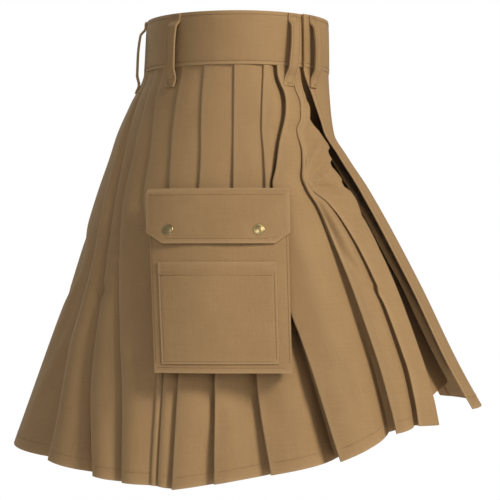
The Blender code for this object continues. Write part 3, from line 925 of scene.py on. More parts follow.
                # Paler along each fold edge: partly rubbing, partly a painted highlight
                wear_and_highlight[:, span] = np.exp(-np.abs(running[:, span] - running[:, fold + 2 : fold + 3]) / 0.0035)
            flat[..., 1] = down
            hem = self.drops[-1] - self.drops
            # Paler along the hem too: partly rubbing, partly a painted highlight
            wear_and_highlight = np.maximum(wear_and_highlight, 0.9 * np.exp(-hem / 0.004))
            span = slice(left, right + 1)
            piece = cloth_shell(name, self.points[:, span], flat[:, span], wear_and_highlight[:, span], CLOTH)
            length = float(self.drops[-1, span].mean()) - BAND_HEIGHT
            finish_cloth(piece, (name,), (cut, length))
            for index in range(first, first + count):
                start, fold, _ = self.edges[index]
                self.sew_hem(thread, f"stitching_{name}", slice(start + 2, fold + 1))
            first += count

    def sew_hem(self, thread: Seamstress, name: str, span: slice) -> None:
        """Sew the hem's line across one pleat's face.

        Args:
            thread: Sews the line.
            name: The thread piece's name.
            span: Columns of the face.
        """
        drop = self.drops[-1, span] - self.hem_turn
        rows = self.drops[:, span]
        angle = np.array([np.interp(d, rows[:, c], self.angles[:, span][:, c]) for c, d in enumerate(drop)])
        level = np.array([np.interp(d, rows[:, c], self.levels[:, span][:, c]) for c, d in enumerate(drop)])
        thread.sew(name, self.outline.ring(angle, drop, level + CLOTH * 0.5 + 0.0001))


@dataclass
class Aprons:
    """The plain ends of the cloth: one inside across the front, one outside over it."""

    outline: Outline
    pleats: PleatedLength
    rows: tuple[tuple[float, float, float, float, float, float], ...] = (
        (0.068, -0.112, 0.110, 0.100, 0.0000, 0.0000),
        (0.110, -0.114, 0.118, 0.102, 0.0130, 0.0020),
        (0.150, -0.117, 0.126, 0.104, 0.0260, 0.0040),
        (0.225, -0.124, 0.137, 0.106, 0.0360, 0.0070),
        (0.343, -0.136, 0.152, 0.106, 0.0360, 0.0100),
        (0.600, -0.152, 0.176, 0.106, 0.0380, 0.0120),
    )
    # How far the inner apron runs level from its fold before it drops inside, a ragged edge
    level_runs: tuple[tuple[float, float], ...] = (
        (0.068, 0.006), (0.100, 0.008), (0.108, 0.012), (0.115, 0.018), (0.122, 0.021), (0.134, 0.015),
        (0.141, 0.025), (0.153, 0.050), (0.163, 0.056), (0.170, 0.062), (0.179, 0.046), (0.188, 0.052),
        (0.196, 0.043), (0.205, 0.056), (0.213, 0.064), (0.223, 0.060), (0.231, 0.068), (0.243, 0.058),
        (0.252, 0.051), (0.262, 0.047), (0.300, 0.042), (0.343, 0.040), (0.450, 0.036), (0.530, 0.034),
    )
    outer_hem: float = 0.507
    under_hem: float = 0.478
    turn: float = 0.020
    under_corner: float = 0.7
    columns: int = 56
    run_columns: int = 26
    roll: float = 0.005

    def __post_init__(self) -> None:
        """Turn the table's columns into smooth curves."""
        columns = list(zip(*self.rows))
        self.right, self.left, self.under_edge, self.hang_fold, self.hang_middle = (
            SmoothLine(list(zip(columns[0], column))) for column in columns[1:]
        )

    def build_outer(self, thread: Seamstress) -> None:
        """Make the outer apron with its turned edges and stitching."""
        points, flats, wear_and_highlight_rows, edge, hem_path, left_path = [], [], [], [], [], []
        for place in self.pleats.places:
            drop = self.pleats.row_drop(place, self.outer_hem)
            left, right = float(self.left.at(drop)), float(self.right.at(drop))
            half = LAYER_STEP * 0.5
            turned = [(left - self.turn * share, OVERLAP_LEVEL - LAYER_STEP) for share in (1.0, 0.6, 0.2)]
            turned += [(left - half, OVERLAP_LEVEL - LAYER_STEP), (left - half * 0.3, OVERLAP_LEVEL - 1.5 * half)]
            turned += [(left, OVERLAP_LEVEL - half), (left - half * 0.3, OVERLAP_LEVEL - 0.5 * half)]
            xs = np.linspace(left - half, right, self.columns)
            row = np.array(turned + [(x, OVERLAP_LEVEL) for x in xs])
            points.append(self.outline.front_at(row[:, 0], drop, row[:, 1]))
            length = path_length(points[-1])
            flats.append(np.stack([length - length[6], np.full(len(row), drop)], axis=-1))
            # Paler along the edges and hem: partly rubbing, partly a painted highlight
            near_edge = np.minimum(length[-1] - length, np.abs(length - length[5]))
            wear_and_highlight_rows.append(np.maximum(np.exp(-near_edge / 0.003), np.exp(-(self.outer_hem - drop) / 0.004)))
            edge.append((right + 0.0075, drop))
            left_path.append((left - 0.006, drop))
        piece = cloth_shell("apron_outer", np.array(points), np.array(flats), np.array(wear_and_highlight_rows), CLOTH)
        width = float(path_length(points[-1])[-1])
        finish_cloth(
            piece, ("apron_outer",), (width, self.outer_hem - BAND_HEIGHT)
        )
        name = "stitching_apron_outer"
        level = OVERLAP_LEVEL + CLOTH * 0.5 + 0.0001
        for line in (edge, left_path):
            line = np.array(line)
            thread.sew(name, self.outline.front_at(line[:, 0], line[:, 1], level))
        drop = self.outer_hem - 0.014
        xs = np.linspace(float(self.left.at(drop)) - 0.002, float(self.right.at(drop)) + 0.002, 120)
        thread.sew(name, self.outline.front_at(xs, drop, level))

    def build_under(self, thread: Seamstress) -> None:
        """Make the inner apron, which ends in the fold beside the first pleat."""
        first = self.pleats.folds[0]
        line = self.pleats.lines[0]
        points, flats, wear_and_highlight_rows = [], [], []
        for place in self.pleats.places:
            fold_drop = self.pleats.row_drop(place, first.hem_drop)
            plain_drop = self.pleats.row_drop(place, self.under_hem)
            fold = float(line.at(fold_drop))
            opened = self.pleats.openness(place)
            lift = self.pleats.lift(first, place)
            step = mix(LAYER_STEP, first.step, opened)
            tuck_length = mix(self.pleats.waist_tuck, first.tuck, opened)
            tuck = min(float(self.outline.degrees_for(tuck_length, fold, fold_drop)), 0.55 * 12.0)
            run_length = float(np.interp(fold_drop, *zip(*self.level_runs)))
            near = fold - float(self.outline.degrees_for(run_length, fold - 8.0, fold_drop))
            near_x = float(self.outline.ring(near, fold_drop, -self.roll, 0.0)[..., 0])
            share = np.linspace(0.0, 1.0, self.columns) ** 0.6
            xs = mix(float(self.under_edge.at(plain_drop)), near_x, share)
            drops = mix(plain_drop, fold_drop, self.under_corner * share**6)
            hang = mix(float(self.hang_middle.at(plain_drop)), float(self.hang_fold.at(plain_drop)), share)
            settle = 1.0 - smooth((share - 0.955) / 0.045)
            plain = self.outline.front_at(xs, drops, -hang * settle - self.roll * 1.2 * (1.0 - settle))[:-1]
            nose = float(self.outline.degrees_for(LAYER_STEP * 0.5, fold, fold_drop))
            run = np.linspace(0.0, 1.0, self.run_columns)
            curl = -self.roll * np.exp(-run * run_length / 0.004)
            polar = [(mix(near, fold, part), lift * part + turned) for part, turned in zip(run, curl)]
            polar += [(fold + nose * 0.87, lift - LAYER_STEP * 0.25), (fold + nose * 0.87, lift - LAYER_STEP * 0.75)]
            polar += [(fold, lift - LAYER_STEP)]
            polar += [
                (fold - tuck * part, lift - mix(LAYER_STEP, 2.0 * step - LAYER_STEP, part)) for part in (0.5, 1.0)
            ]
            polar = np.array(polar)
            fold_column = self.columns - 1 + self.run_columns - 1
            folded = self.outline.ring(polar[:, 0], fold_drop, polar[:, 1])
            points.append(np.concatenate([plain, folded]))
            length = path_length(points[-1])
            flats.append(np.stack([length - length[fold_column], np.full(len(length), fold_drop)], axis=-1))
            # Paler along the fold: partly rubbing, partly a painted highlight
            near_fold = np.abs(length - length[fold_column + 1])
            wear_and_highlight_rows.append(np.exp(-near_fold / 0.003))
        piece = cloth_shell("apron_under", np.array(points), np.array(flats), np.array(wear_and_highlight_rows), CLOTH)
        width = float(path_length(points[-1])[-1])
        finish_cloth(
            piece, ("apron_under",), (width, first.hem_drop - BAND_HEIGHT)
        )


@dataclass
class Waistband:
    """The band in its two lengths, the outer one lapping over the other across the front."""

    outline: Outline
    lap_start: float = 214.0
    lap_end: float = 224.0
    seam: float = 90.0
    under_end: float = -130.0
    over_end: float = 316.0
    stitch_up: float = 0.0045

    def level(self, angle: np.ndarray) -> np.ndarray:
        """How far out the band lies, with its step where it laps over."""
        share = smooth((angle - self.lap_start) / (self.lap_end - self.lap_start))
        return mix(BAND_LEVEL, OVERLAP_LEVEL, share)

    def build(self, thread: Seamstress) -> None:
        """Make both lengths and their stitching."""
        half = float(self.outline.degrees_for(SEAM_GAP * 0.6, self.seam, 0.0))
        low = BAND_HEIGHT - self.stitch_up
        drops = np.array([0.0, 0.0012, 0.0030, 0.0045, 0.0060, 0.012, 0.020, 0.030, 0.040, 0.050, 0.058])
        drops = np.concatenate([drops, [low - 0.0022, low, low + 0.0022, BAND_HEIGHT]])
        for name, start, end, steps in (
            ("waistband_under", self.under_end, self.seam - half, 150),
            ("waistband_over", self.seam + half, self.over_end, 150),
        ):
            angles = np.linspace(start, end, steps)
            grid_angle, grid_drop = np.meshgrid(angles, drops)
            groove = -0.0004 * np.exp(-(((grid_drop - low) / 0.0016) ** 2))
            groove = groove - 0.0003 * np.exp(-(((grid_drop - 0.0045) / 0.0016) ** 2))
            body = 0.0006 * np.sin(np.pi * np.clip(grid_drop / BAND_HEIGHT, 0.0, 1.0)) ** 0.5
            points = self.outline.ring(grid_angle, grid_drop, self.level(grid_angle) + groove + body)
            length = path_length(points)
            flat = np.stack([length, grid_drop], axis=-1)
            # Paler along the top and bottom edges: partly rubbing, partly a painted highlight
            wear_and_highlight = np.maximum(np.exp(-grid_drop / 0.0025), np.exp(-(BAND_HEIGHT - grid_drop) / 0.0025))
            piece = cloth_shell(name, points, flat, wear_and_highlight * 0.8, BAND_THICK)
            finish_cloth(piece, (name,), (float(length[5, -1]), BAND_HEIGHT))
            shown = np.linspace(max(start, -46.0), end, 500)
            for drop in (low, 0.0045):
                face = self.level(shown) + BAND_THICK * 0.5 + 0.0002
                thread.sew(f"stitching_{name}", self.outline.ring(shown, drop, face))


@dataclass(frozen=True)
class LoopPlace:
    """Where one belt loop is sewn."""

    name: str
    angle: float
    lean: float = 0.0
    on_overlap: bool = False


@dataclass
class BeltLoops:
    """Seven long folded loops, bowed clear of the band between their bar tacks."""

    outline: Outline
    width: float = 0.016
    length: float = 0.095
    thick: float = 0.0024
    bow: float = 0.0105
    places: tuple[LoopPlace, ...] = (
        LoopPlace("belt_loop_back", 84.0),
        LoopPlace("belt_loop_back_right", 40.1),
        LoopPlace("belt_loop_back_left", 140.0),
        LoopPlace("belt_loop_side_right", -36.6, 4.0),
        LoopPlace("belt_loop_side_left", 207.0),
        LoopPlace("belt_loop_apron_right", 308.2, 0.0, True),
        LoopPlace("belt_loop_apron_left", 232.6, 0.0, True),
    )

    def build(self, thread: Seamstress) -> None:
        """Make every loop with its edge stitching and bar tacks."""
        for place in self.places:
            self.one_loop(place, thread)

    def one_loop(self, place: LoopPlace, thread: Seamstress) -> None:
        """Make one loop.

        Args:
            place: Where it is sewn.
            thread: Sews its edges and tacks.
        """
        base = OVERLAP_LEVEL if place.on_overlap else BAND_LEVEL
        foot = base + BAND_THICK * 0.5 + SEAM_GAP + self.thick * 0.5
        low_foot = (OVERLAP_LEVEL if place.on_overlap else 0.0) + 0.0022 + SEAM_GAP
        bows = SmoothLine(
            [
                (0.0005, foot),
                (0.0080, foot),
                (0.0180, base + self.bow * 0.9),
                (0.0440, base + self.bow * 1.1),
                (0.0700, base + self.bow),
                (0.0860, low_foot + 0.0008),
                (self.length, low_foot),
            ]
        )
        drops = np.linspace(0.0005, self.length, 40)
        across = np.array([-1.0, -0.86, -0.7, -0.35, 0.0, 0.35, 0.7, 0.86, 1.0])
        points = self.strip(place, bows, drops, across, 0.0)
        flat = np.stack(np.meshgrid(across * self.width * 0.5, drops), axis=-1)
        # Paler along the folded long edges: partly rubbing, partly a painted highlight
        wear_and_highlight = np.exp(-(1.0 - np.abs(flat[..., 0]) / (self.width * 0.5)) / 0.12) * 0.7
        piece = cloth_shell(place.name, points, flat, wear_and_highlight, self.thick)
        finish_cloth(piece, (place.name,), (self.width, self.length * 1.04))
        name = f"stitching_{place.name}"
        for edge in (-0.70, 0.70):
            line = self.strip(place, bows, np.linspace(0.002, self.length - 0.001, 60), np.array([edge]), 0.0014)
            thread.sew(name, line[:, 0])
        for drop in (0.0030, 0.0048, self.length - 0.0045, self.length - 0.0028):
            tack = self.strip(place, bows, np.array([drop, drop + 0.0001]), np.linspace(-0.8, 0.8, 9), 0.0014)
            thread.sew(name, tack[0])

    def strip(self, place: LoopPlace, bows: SmoothLine, drops: np.ndarray, across: np.ndarray, proud: float) -> np.ndarray:
        """Points of a loop's strip.

        Args:
            place: Where the loop is sewn.
            bows: Level of its middle at each drop.
            drops: Rows, in metres below the band's top.
            across: Columns, -1 to 1 across its width.
            proud: Metres out from the middle of its thickness.

        Returns:
            Rows and columns of points.
        """
        angle = place.angle + place.lean * np.clip(drops / self.length, 0.0, 1.0)
        level = bows.at(drops) + proud
        middle = self.outline.ring(angle, drops, level)
        tangent = self.outline.ring(angle + 0.5, drops, level, 0.0) - self.outline.ring(angle - 0.5, drops, level, 0.0)
        tangent /= np.linalg.norm(tangent, axis=-1, keepdims=True)
        belly = 0.0007 * (1.0 - across**2)
        out = self.outline.ring(angle, drops, level + 0.001, 0.0) - self.outline.ring(angle, drops, level, 0.0)
        out /= np.linalg.norm(out, axis=-1, keepdims=True)
        return (
            middle[:, None]
            + tangent[:, None] * (across * self.width * 0.5)[None, :, None]
            + out[:, None] * (belly - 0.0005)[None, :, None]
        )


@dataclass
class CargoPocket:
    """A bellows pocket: an open-topped bag, a patch pocket on it and a flap with two studs."""

    outline: Outline
    side: Side
    top_drop: float = 0.228
    height: float = 0.228
    top_edges: tuple[float, float] = (0.104, -0.060)
    foot_edges: tuple[float, float] = (0.094, -0.065)
    foot_standoff: float = 0.0120
    depth: float = 0.0120
    mouth: float = 0.010
    flap_depth: float = 0.069
    flap_overhang: float = 0.0015
    flap_clip: float = 0.018
    flap_thick: float = 0.0018
    patch_top: float = 0.092
    patch_foot: float = 0.217
    patch_edges: tuple[float, float] = (0.060, 0.905)
    studs: tuple[tuple[str, float, float], ...] = (("back", 0.145, 0.052), ("front", 0.780, 0.052))
    stud_radius: float = 0.00725
    crown: float = 0.0030

    @property
    def word(self) -> str:
        """The side's name, as the nodes use it."""
        return "right" if self.side is Side.RIGHT else "left"

    @property
    def width(self) -> float:
        """Width of the pocket at its top."""
        return self.top_edges[0] - self.top_edges[1]

    def place(self, across, down, level) -> np.ndarray:
        """Points on the pocket.

        Args:
            across: 0 at its back edge to 1 at its front edge.
            down: Metres below the pocket's top.
            level: Metres out from the pocket's back.

        Returns:
            Points, with a last axis of three.
        """
        share = np.asarray(down) / self.height
        back_edge = mix(self.top_edges[0], self.foot_edges[0], share)
        front_edge = mix(self.top_edges[1], self.foot_edges[1], share)
        top_standoff = 0.0052 if self.side is Side.RIGHT else 0.0022
        standoff = mix(top_standoff, self.foot_standoff, share)
        points = self.outline.side_at(mix(back_edge, front_edge, across), self.top_drop + down, standoff + level)
        return points * np.array([self.side.value, 1.0, 1.0])

    def crowned(self, across, down) -> np.ndarray:
        """Extra level of the bag's front, which bellies out and sags towards the foot."""
        share = np.clip(np.asarray(down) / self.height, 0.0, 1.0)
        fullness = np.sin(np.pi * np.clip(across, 0.0, 1.0)) ** 0.6
        sag = np.sin(np.pi * share**1.3) ** 0.8
        dents = 0.0007 * np.sin(across * 9.0 + share * 4.0) * np.sin(share * 7.0 + 1.0)
        return self.crown * fullness * sag + dents * fullness

    def own_order(self, points: np.ndarray) -> np.ndarray:
        """Reverse the columns on the left pocket, so that its faces still point out."""
        return points if self.side is Side.RIGHT else points[:, ::-1]

    def build(self, thread: Seamstress) -> None:
        """Make the bag, patch, flap and studs."""
        self.build_bag(thread)
        self.build_patch(thread)
        self.build_flap(thread)
        for name, across, down in self.studs:
            self.build_stud(name, across, down)

    def build_bag(self, thread: Seamstress) -> None:
        """Make the bag as one loft of back, gussets and front, closed at the foot."""
        downs = np.concatenate([np.linspace(self.mouth, self.height - 0.003, 34), [self.height]])
        gusset = np.array([0.0, 0.18, 0.38, 0.5, 0.62, 0.82, 1.0])
        front = np.linspace(0.0, 1.0, 33)[1:-1]
        rows = []
        for down in downs:
            share = down / self.height
            pull = 0.020 + 0.010 * math.sin(down * 310.0) * share
            fold_in = np.sin(np.pi * gusset) * pull
            column = np.concatenate([fold_in * 1.0, front, (1.0 - fold_in)[::-1]])
            level = np.concatenate([gusset * self.depth, np.full(len(front), self.depth), (gusset * self.depth)[::-1]])
            level = level + np.where(
                (np.arange(len(level)) >= len(gusset)) & (np.arange(len(level)) < len(level) - len(gusset)),
                self.crowned(column, down),
                0.0,
            )
            back = np.linspace(1.0, 0.0, 18)[1:-1]
            column = np.concatenate([column, back])
            level = np.concatenate([level, np.full(len(back), 0.0)])
            rows.append(self.place(column, down, level))
        points = np.array(rows)
        count, around = points.shape[:2]
        faces = []
        for row in range(count - 1):
            for column in range(around):
                after = (column + 1) % around
                faces.append(
                    (row * around + column, row * around + after, (row + 1) * around + after, (row + 1) * around + column)
                )
        faces.append(tuple((count - 1) * around + column for column in range(around)))
        name = f"pocket_{self.word}_bag"
        piece = link_mesh(f"{name}_twill", points, faces)
        shape = bmesh.new()
        shape.from_mesh(piece.data)
        foot = [face for face in shape.faces if len(face.verts) > 4]
        bmesh.ops.triangulate(shape, faces=foot)
        bmesh.ops.recalc_face_normals(shape, faces=shape.faces)
        shape.to_mesh(piece.data)
        shape.free()
        across = np.linalg.norm(np.diff(np.concatenate([points, points[:, :1]], axis=1), axis=1), axis=-1)
        running = np.concatenate([np.zeros((count, 1)), np.cumsum(across, axis=1)[:, :-1]], axis=1)
        flat = np.stack([running, np.repeat(downs[:, None], around, axis=1)], axis=-1)
        # Paler towards the foot: partly rubbing, partly a painted highlight
        wear_and_highlight = np.repeat(np.exp(-np.abs(downs - self.height) / 0.004)[:, None], around, axis=1)
        lay_flat(piece, flat.reshape(-1, 2), wear_and_highlight.reshape(-1))
        piece.data.materials.append(TwillFinish().material())
        wall = piece.modifiers.new("wall", "SOLIDIFY")
        wall.thickness = CLOTH
        wall.offset = -1.0
        bpy.context.view_layer.objects.active = piece
        bpy.ops.object.modifier_apply(modifier=wall.name)
        smooth_shading(piece, 60.0)
        cut = (2.0 * (self.width + self.depth), self.height - self.mouth + self.depth)
        finish_cloth(piece, (name,), cut)
        for edge in (0.016, 0.984):
            line = np.linspace(self.mouth + 0.004, self.height - 0.008, 60)
            level = self.depth + self.crowned(np.full(60, edge), line) + 0.0001
            thread.sew(f"stitching_{name}", self.place(np.full(60, edge), line, level))
        line = np.linspace(0.02, 0.98, 60)
        down = self.height - 0.0065
        level = self.depth + self.crowned(line, np.full(60, down)) + 0.0001
        thread.sew(f"stitching_{name}", self.place(line, np.full(60, down), level))

    def panel(self, across: np.ndarray, downs: np.ndarray, level: np.ndarray, name: str, thickness: float) -> bpy.types.Object:
        """Make a panel on the pocket.

        Args:
            across: Place across for each row and column.
            downs: Place down for each row and column.
            level: Level of its middle surface.
            name: The piece's name.
            thickness: The panel's thickness.

        Returns:
            The piece.
        """
        points = self.own_order(self.place(across, downs, level))
        length = path_length(points)
        flat = np.stack([length, self.own_order(downs)], axis=-1)
        # Paler along the panel's edges: partly rubbing, partly a painted highlight
        edge = np.minimum(length, length[:, -1:] - length)
        edge = np.minimum(edge, np.minimum(downs - downs[0, 0], downs[-1, 0] - downs))
        return cloth_shell(name, points, flat, np.exp(-edge / 0.0028) * 0.9, thickness)

    def build_patch(self, thread: Seamstress) -> None:
        """Make the patch pocket with its stitched hem and edges."""
        low, high = self.patch_edges
        seams = [0.0, 0.0012, 0.0030, 0.0048]
        inner = np.array(seams) / self.width
        line = np.concatenate([low + inner, np.linspace(low + 0.045, high - 0.045, 26), (high - inner)[::-1]])
        hem = self.patch_top + 0.0165
        downs = np.concatenate(
            [
                self.patch_top + np.array([0.0, 0.0015, 0.005, 0.010]),
                hem + np.array([-0.002, 0.0, 0.002]),
                np.linspace(hem + 0.006, self.patch_foot - 0.007, 24),
                self.patch_foot - np.array([0.0048, 0.003, 0.0012, 0.0]),
            ]
        )
        across, down = np.meshgrid(line, downs)
        level = self.depth + self.crowned(across, down) + SEAM_GAP * 1.5 + CLOTH * 0.5
        open_mouth = np.sin(np.pi * np.clip((across - low) / (high - low), 0.0, 1.0))
        level += 0.0012 * open_mouth * np.exp(-(((down - self.patch_top) / 0.018) ** 2))
        level -= 0.0004 * np.exp(-(((down - hem) / 0.0016) ** 2))
        level += 0.0007 * np.exp(-(((down - self.patch_top - 0.008) / 0.006) ** 2))
        for edge in (low, high):
            level -= 0.0003 * np.exp(-((((across - edge) * self.width - math.copysign(0.003, 0.5 - edge)) / 0.0014) ** 2))
        name = f"pocket_{self.word}_patch"
        piece = self.panel(across, down, level, name, CLOTH)
        cut = ((high - low) * self.width, self.patch_foot - self.patch_top)
        finish_cloth(piece, (name,), cut)
        proud = CLOTH * 0.5 + 0.0001
        for edge in (low + 0.003 / self.width, high - 0.003 / self.width):
            self.sew_line(thread, name, (edge, edge), (self.patch_top + 0.001, self.patch_foot - 0.002), proud)
        self.sew_line(thread, name, (low + 0.01, high - 0.01), (self.patch_foot - 0.003,) * 2, proud)
        self.sew_line(thread, name, (low + 0.01, high - 0.01), (hem, hem), proud)

    def sew_line(self, thread: Seamstress, name: str, across: tuple, down: tuple, proud: float) -> None:
        """Sew a straight line on the patch.

        Args:
            thread: Sews it.
            name: The panel's name.
            across: Start and end across.
            down: Start and end down.
            proud: Height above the panel's middle surface.
        """
        share = np.linspace(0.0, 1.0, 70)
        places, downs = mix(across[0], across[1], share), mix(down[0], down[1], share)
        level = self.depth + self.crowned(places, downs) + SEAM_GAP * 1.5 + CLOTH * 0.5 + proud
        thread.sew(f"stitching_{name}", self.place(places, downs, level))

    def flap_level(self, across: Number, down: Number) -> np.ndarray:
        """Level of the flap's middle surface: sewn down at the top, lifted over the mouth."""
        hang = self.depth + SEAM_GAP * 2.0
        share = np.clip(np.asarray(down) / self.flap_depth, 0.0, 1.0)
        rise = mix(hang * 0.55, hang, smooth(np.asarray(down) / (self.mouth - 0.003)))
        over = self.crowned(across, np.asarray(down)) * 1.02
        edge_wave = 0.0010 * np.sin(np.asarray(across) * 11.0 + 0.8) * share**2
        near_stud = np.zeros(np.shape(across * share))
        for _, stud_across, stud_down in self.studs:
            away = np.hypot((across - stud_across) * self.width, down - stud_down)
            near_stud = near_stud - 0.0008 * np.exp(-((away / 0.012) ** 2))
        return rise + over + 0.002 * share + edge_wave + near_stud + self.flap_thick * 0.5

    def build_flap(self, thread: Seamstress) -> None:
        """Make the flap with its clipped corners and two lines of stitching."""
        clip_start = self.flap_depth - self.flap_clip * 0.75
        top_seam, low_seam = 0.008, self.flap_depth - 0.0062
        downs = np.array(
            [0.0, 0.0015, 0.004, top_seam - 0.0018, top_seam, top_seam + 0.0018, 0.013, 0.018, 0.024, 0.030, 0.036]
            + [0.042, 0.047, clip_start, 0.0585, low_seam - 0.0018, low_seam, low_seam + 0.0018, self.flap_depth]
        )
        inner = np.array([0.0, 0.0012, 0.0035, 0.0060, 0.0085]) / self.width
        rows_across = []
        for down in downs:
            clip = max(down - clip_start, 0.0) / (self.flap_clip * 0.75) * self.flap_clip
            edge = (clip - self.flap_overhang) / self.width
            middle = np.linspace(edge + 0.085, 1.0 - edge - 0.085, 25)
            rows_across.append(np.concatenate([edge + inner, middle, (1.0 - edge - inner)[::-1]]))
        across = np.array(rows_across)
        down = np.repeat(downs[:, None], across.shape[1], axis=1)
        level = self.flap_level(across, down)
        for seam in (top_seam, low_seam):
            level = level - 0.0004 * np.exp(-(((down - seam) / 0.0015) ** 2))
        name = f"pocket_{self.word}_flap"
        piece = self.panel(across, down, level, name, self.flap_thick)
        finish_cloth(
            piece,
            (name,),
            (self.width + 2.0 * self.flap_overhang, self.flap_depth),
        )
        inset = 0.0060
        low_edge = (self.flap_clip - self.flap_overhang) / self.width
        corners = [
            ((inset - self.flap_overhang) / self.width, 0.003),
            ((inset - self.flap_overhang) / self.width, clip_start - 0.002),
            (low_edge + 0.003 / self.width, low_seam),
            (1.0 - low_edge - 0.003 / self.width, low_seam),
            (1.0 - (inset - self.flap_overhang) / self.width, clip_start - 0.002),
            (1.0 - (inset - self.flap_overhang) / self.width, 0.003),
        ]
        runs = list(zip(corners, corners[1:]))
        runs.append(((0.01, top_seam), (0.99, top_seam)))
        for (start_across, start_down), (end_across, end_down) in runs:
            share = np.linspace(0.0, 1.0, 60)
            places, lows = mix(start_across, end_across, share), mix(start_down, end_down, share)
            proud = self.flap_thick * 0.5 - 0.0002
            thread.sew(f"stitching_{name}", self.place(places, lows, self.flap_level(places, lows) + proud))

    def build_stud(self, place: str, across: float, down: float) -> None:
        """Make one press-stud cap: a stamped cup with a rolled rim and a domed middle.

        Args:
            place: Which stud it is.
            across: Its place across the flap.
            down: Its place down the flap.
        """
        bpy.ops.object.select_all(action="DESELECT")
        bpy.ops.mesh.primitive_cylinder_add(vertices=32, radius=self.stud_radius, depth=0.0012, location=(0, 0, 0.0006))
        piece = bpy.context.active_object
        piece.name = f"stud_{self.word}_{place}_cap"
        bpy.ops.object.transform_apply(location=True, rotation=True, scale=True)
        bpy.ops.object.mode_set(mode="EDIT")
        bpy.ops.mesh.select_all(action="DESELECT")
        bpy.ops.object.mode_set(mode="OBJECT")
        for face in piece.data.polygons:
            face.select = face.normal.z > 0.9
        bpy.ops.object.mode_set(mode="EDIT")
        bpy.ops.mesh.select_mode(type="FACE")
        for width, height in CAP_STEPS:
            bpy.ops.mesh.inset(thickness=width, depth=0.0)
            bpy.ops.transform.translate(value=(0.0, 0.0, height))
        bpy.ops.object.mode_set(mode="OBJECT")
        rounding = piece.modifiers.new("rounding", "SUBSURF")
        rounding.levels = rounding.render_levels = 1
        bpy.ops.object.modifier_apply(modifier=rounding.name)
        level = float(self.flap_level(np.array(across), np.array(down))) + self.flap_thick * 0.5 - 0.0002
        origin = self.place(across, down, level)
        outward = self.place(across, down, level + 0.01) - origin
        lower = self.place(across, down + 0.01, level) - origin
        normal = Vector(outward).normalized()
        # The cap lies on the flap, which leans out towards its lower edge
        true_hang = Vector(lower).normalized()
        side_way = normal.cross(true_hang).normalized()
        normal = true_hang.cross(side_way).normalized()
        if normal.dot(Vector(outward)) < 0.0:
            normal = -normal
        across_way = true_hang.cross(normal).normalized()
        turn = Matrix((across_way, true_hang, normal)).transposed()
        if turn.determinant() < 0.0:
            turn = Matrix((-across_way, true_hang, normal)).transposed()
        piece.data.transform(Matrix.Translation(Vector(origin)) @ turn.to_4x4())
        smooth_shading(piece, 45.0)
        piece.data.materials.clear()
        piece.data.materials.append(BrassFinish().material())
        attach(piece, "root")
        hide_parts(f"stud_{self.word}_{place}")
        LOG.info("%s: %d faces", piece.name, len(piece.data.polygons))


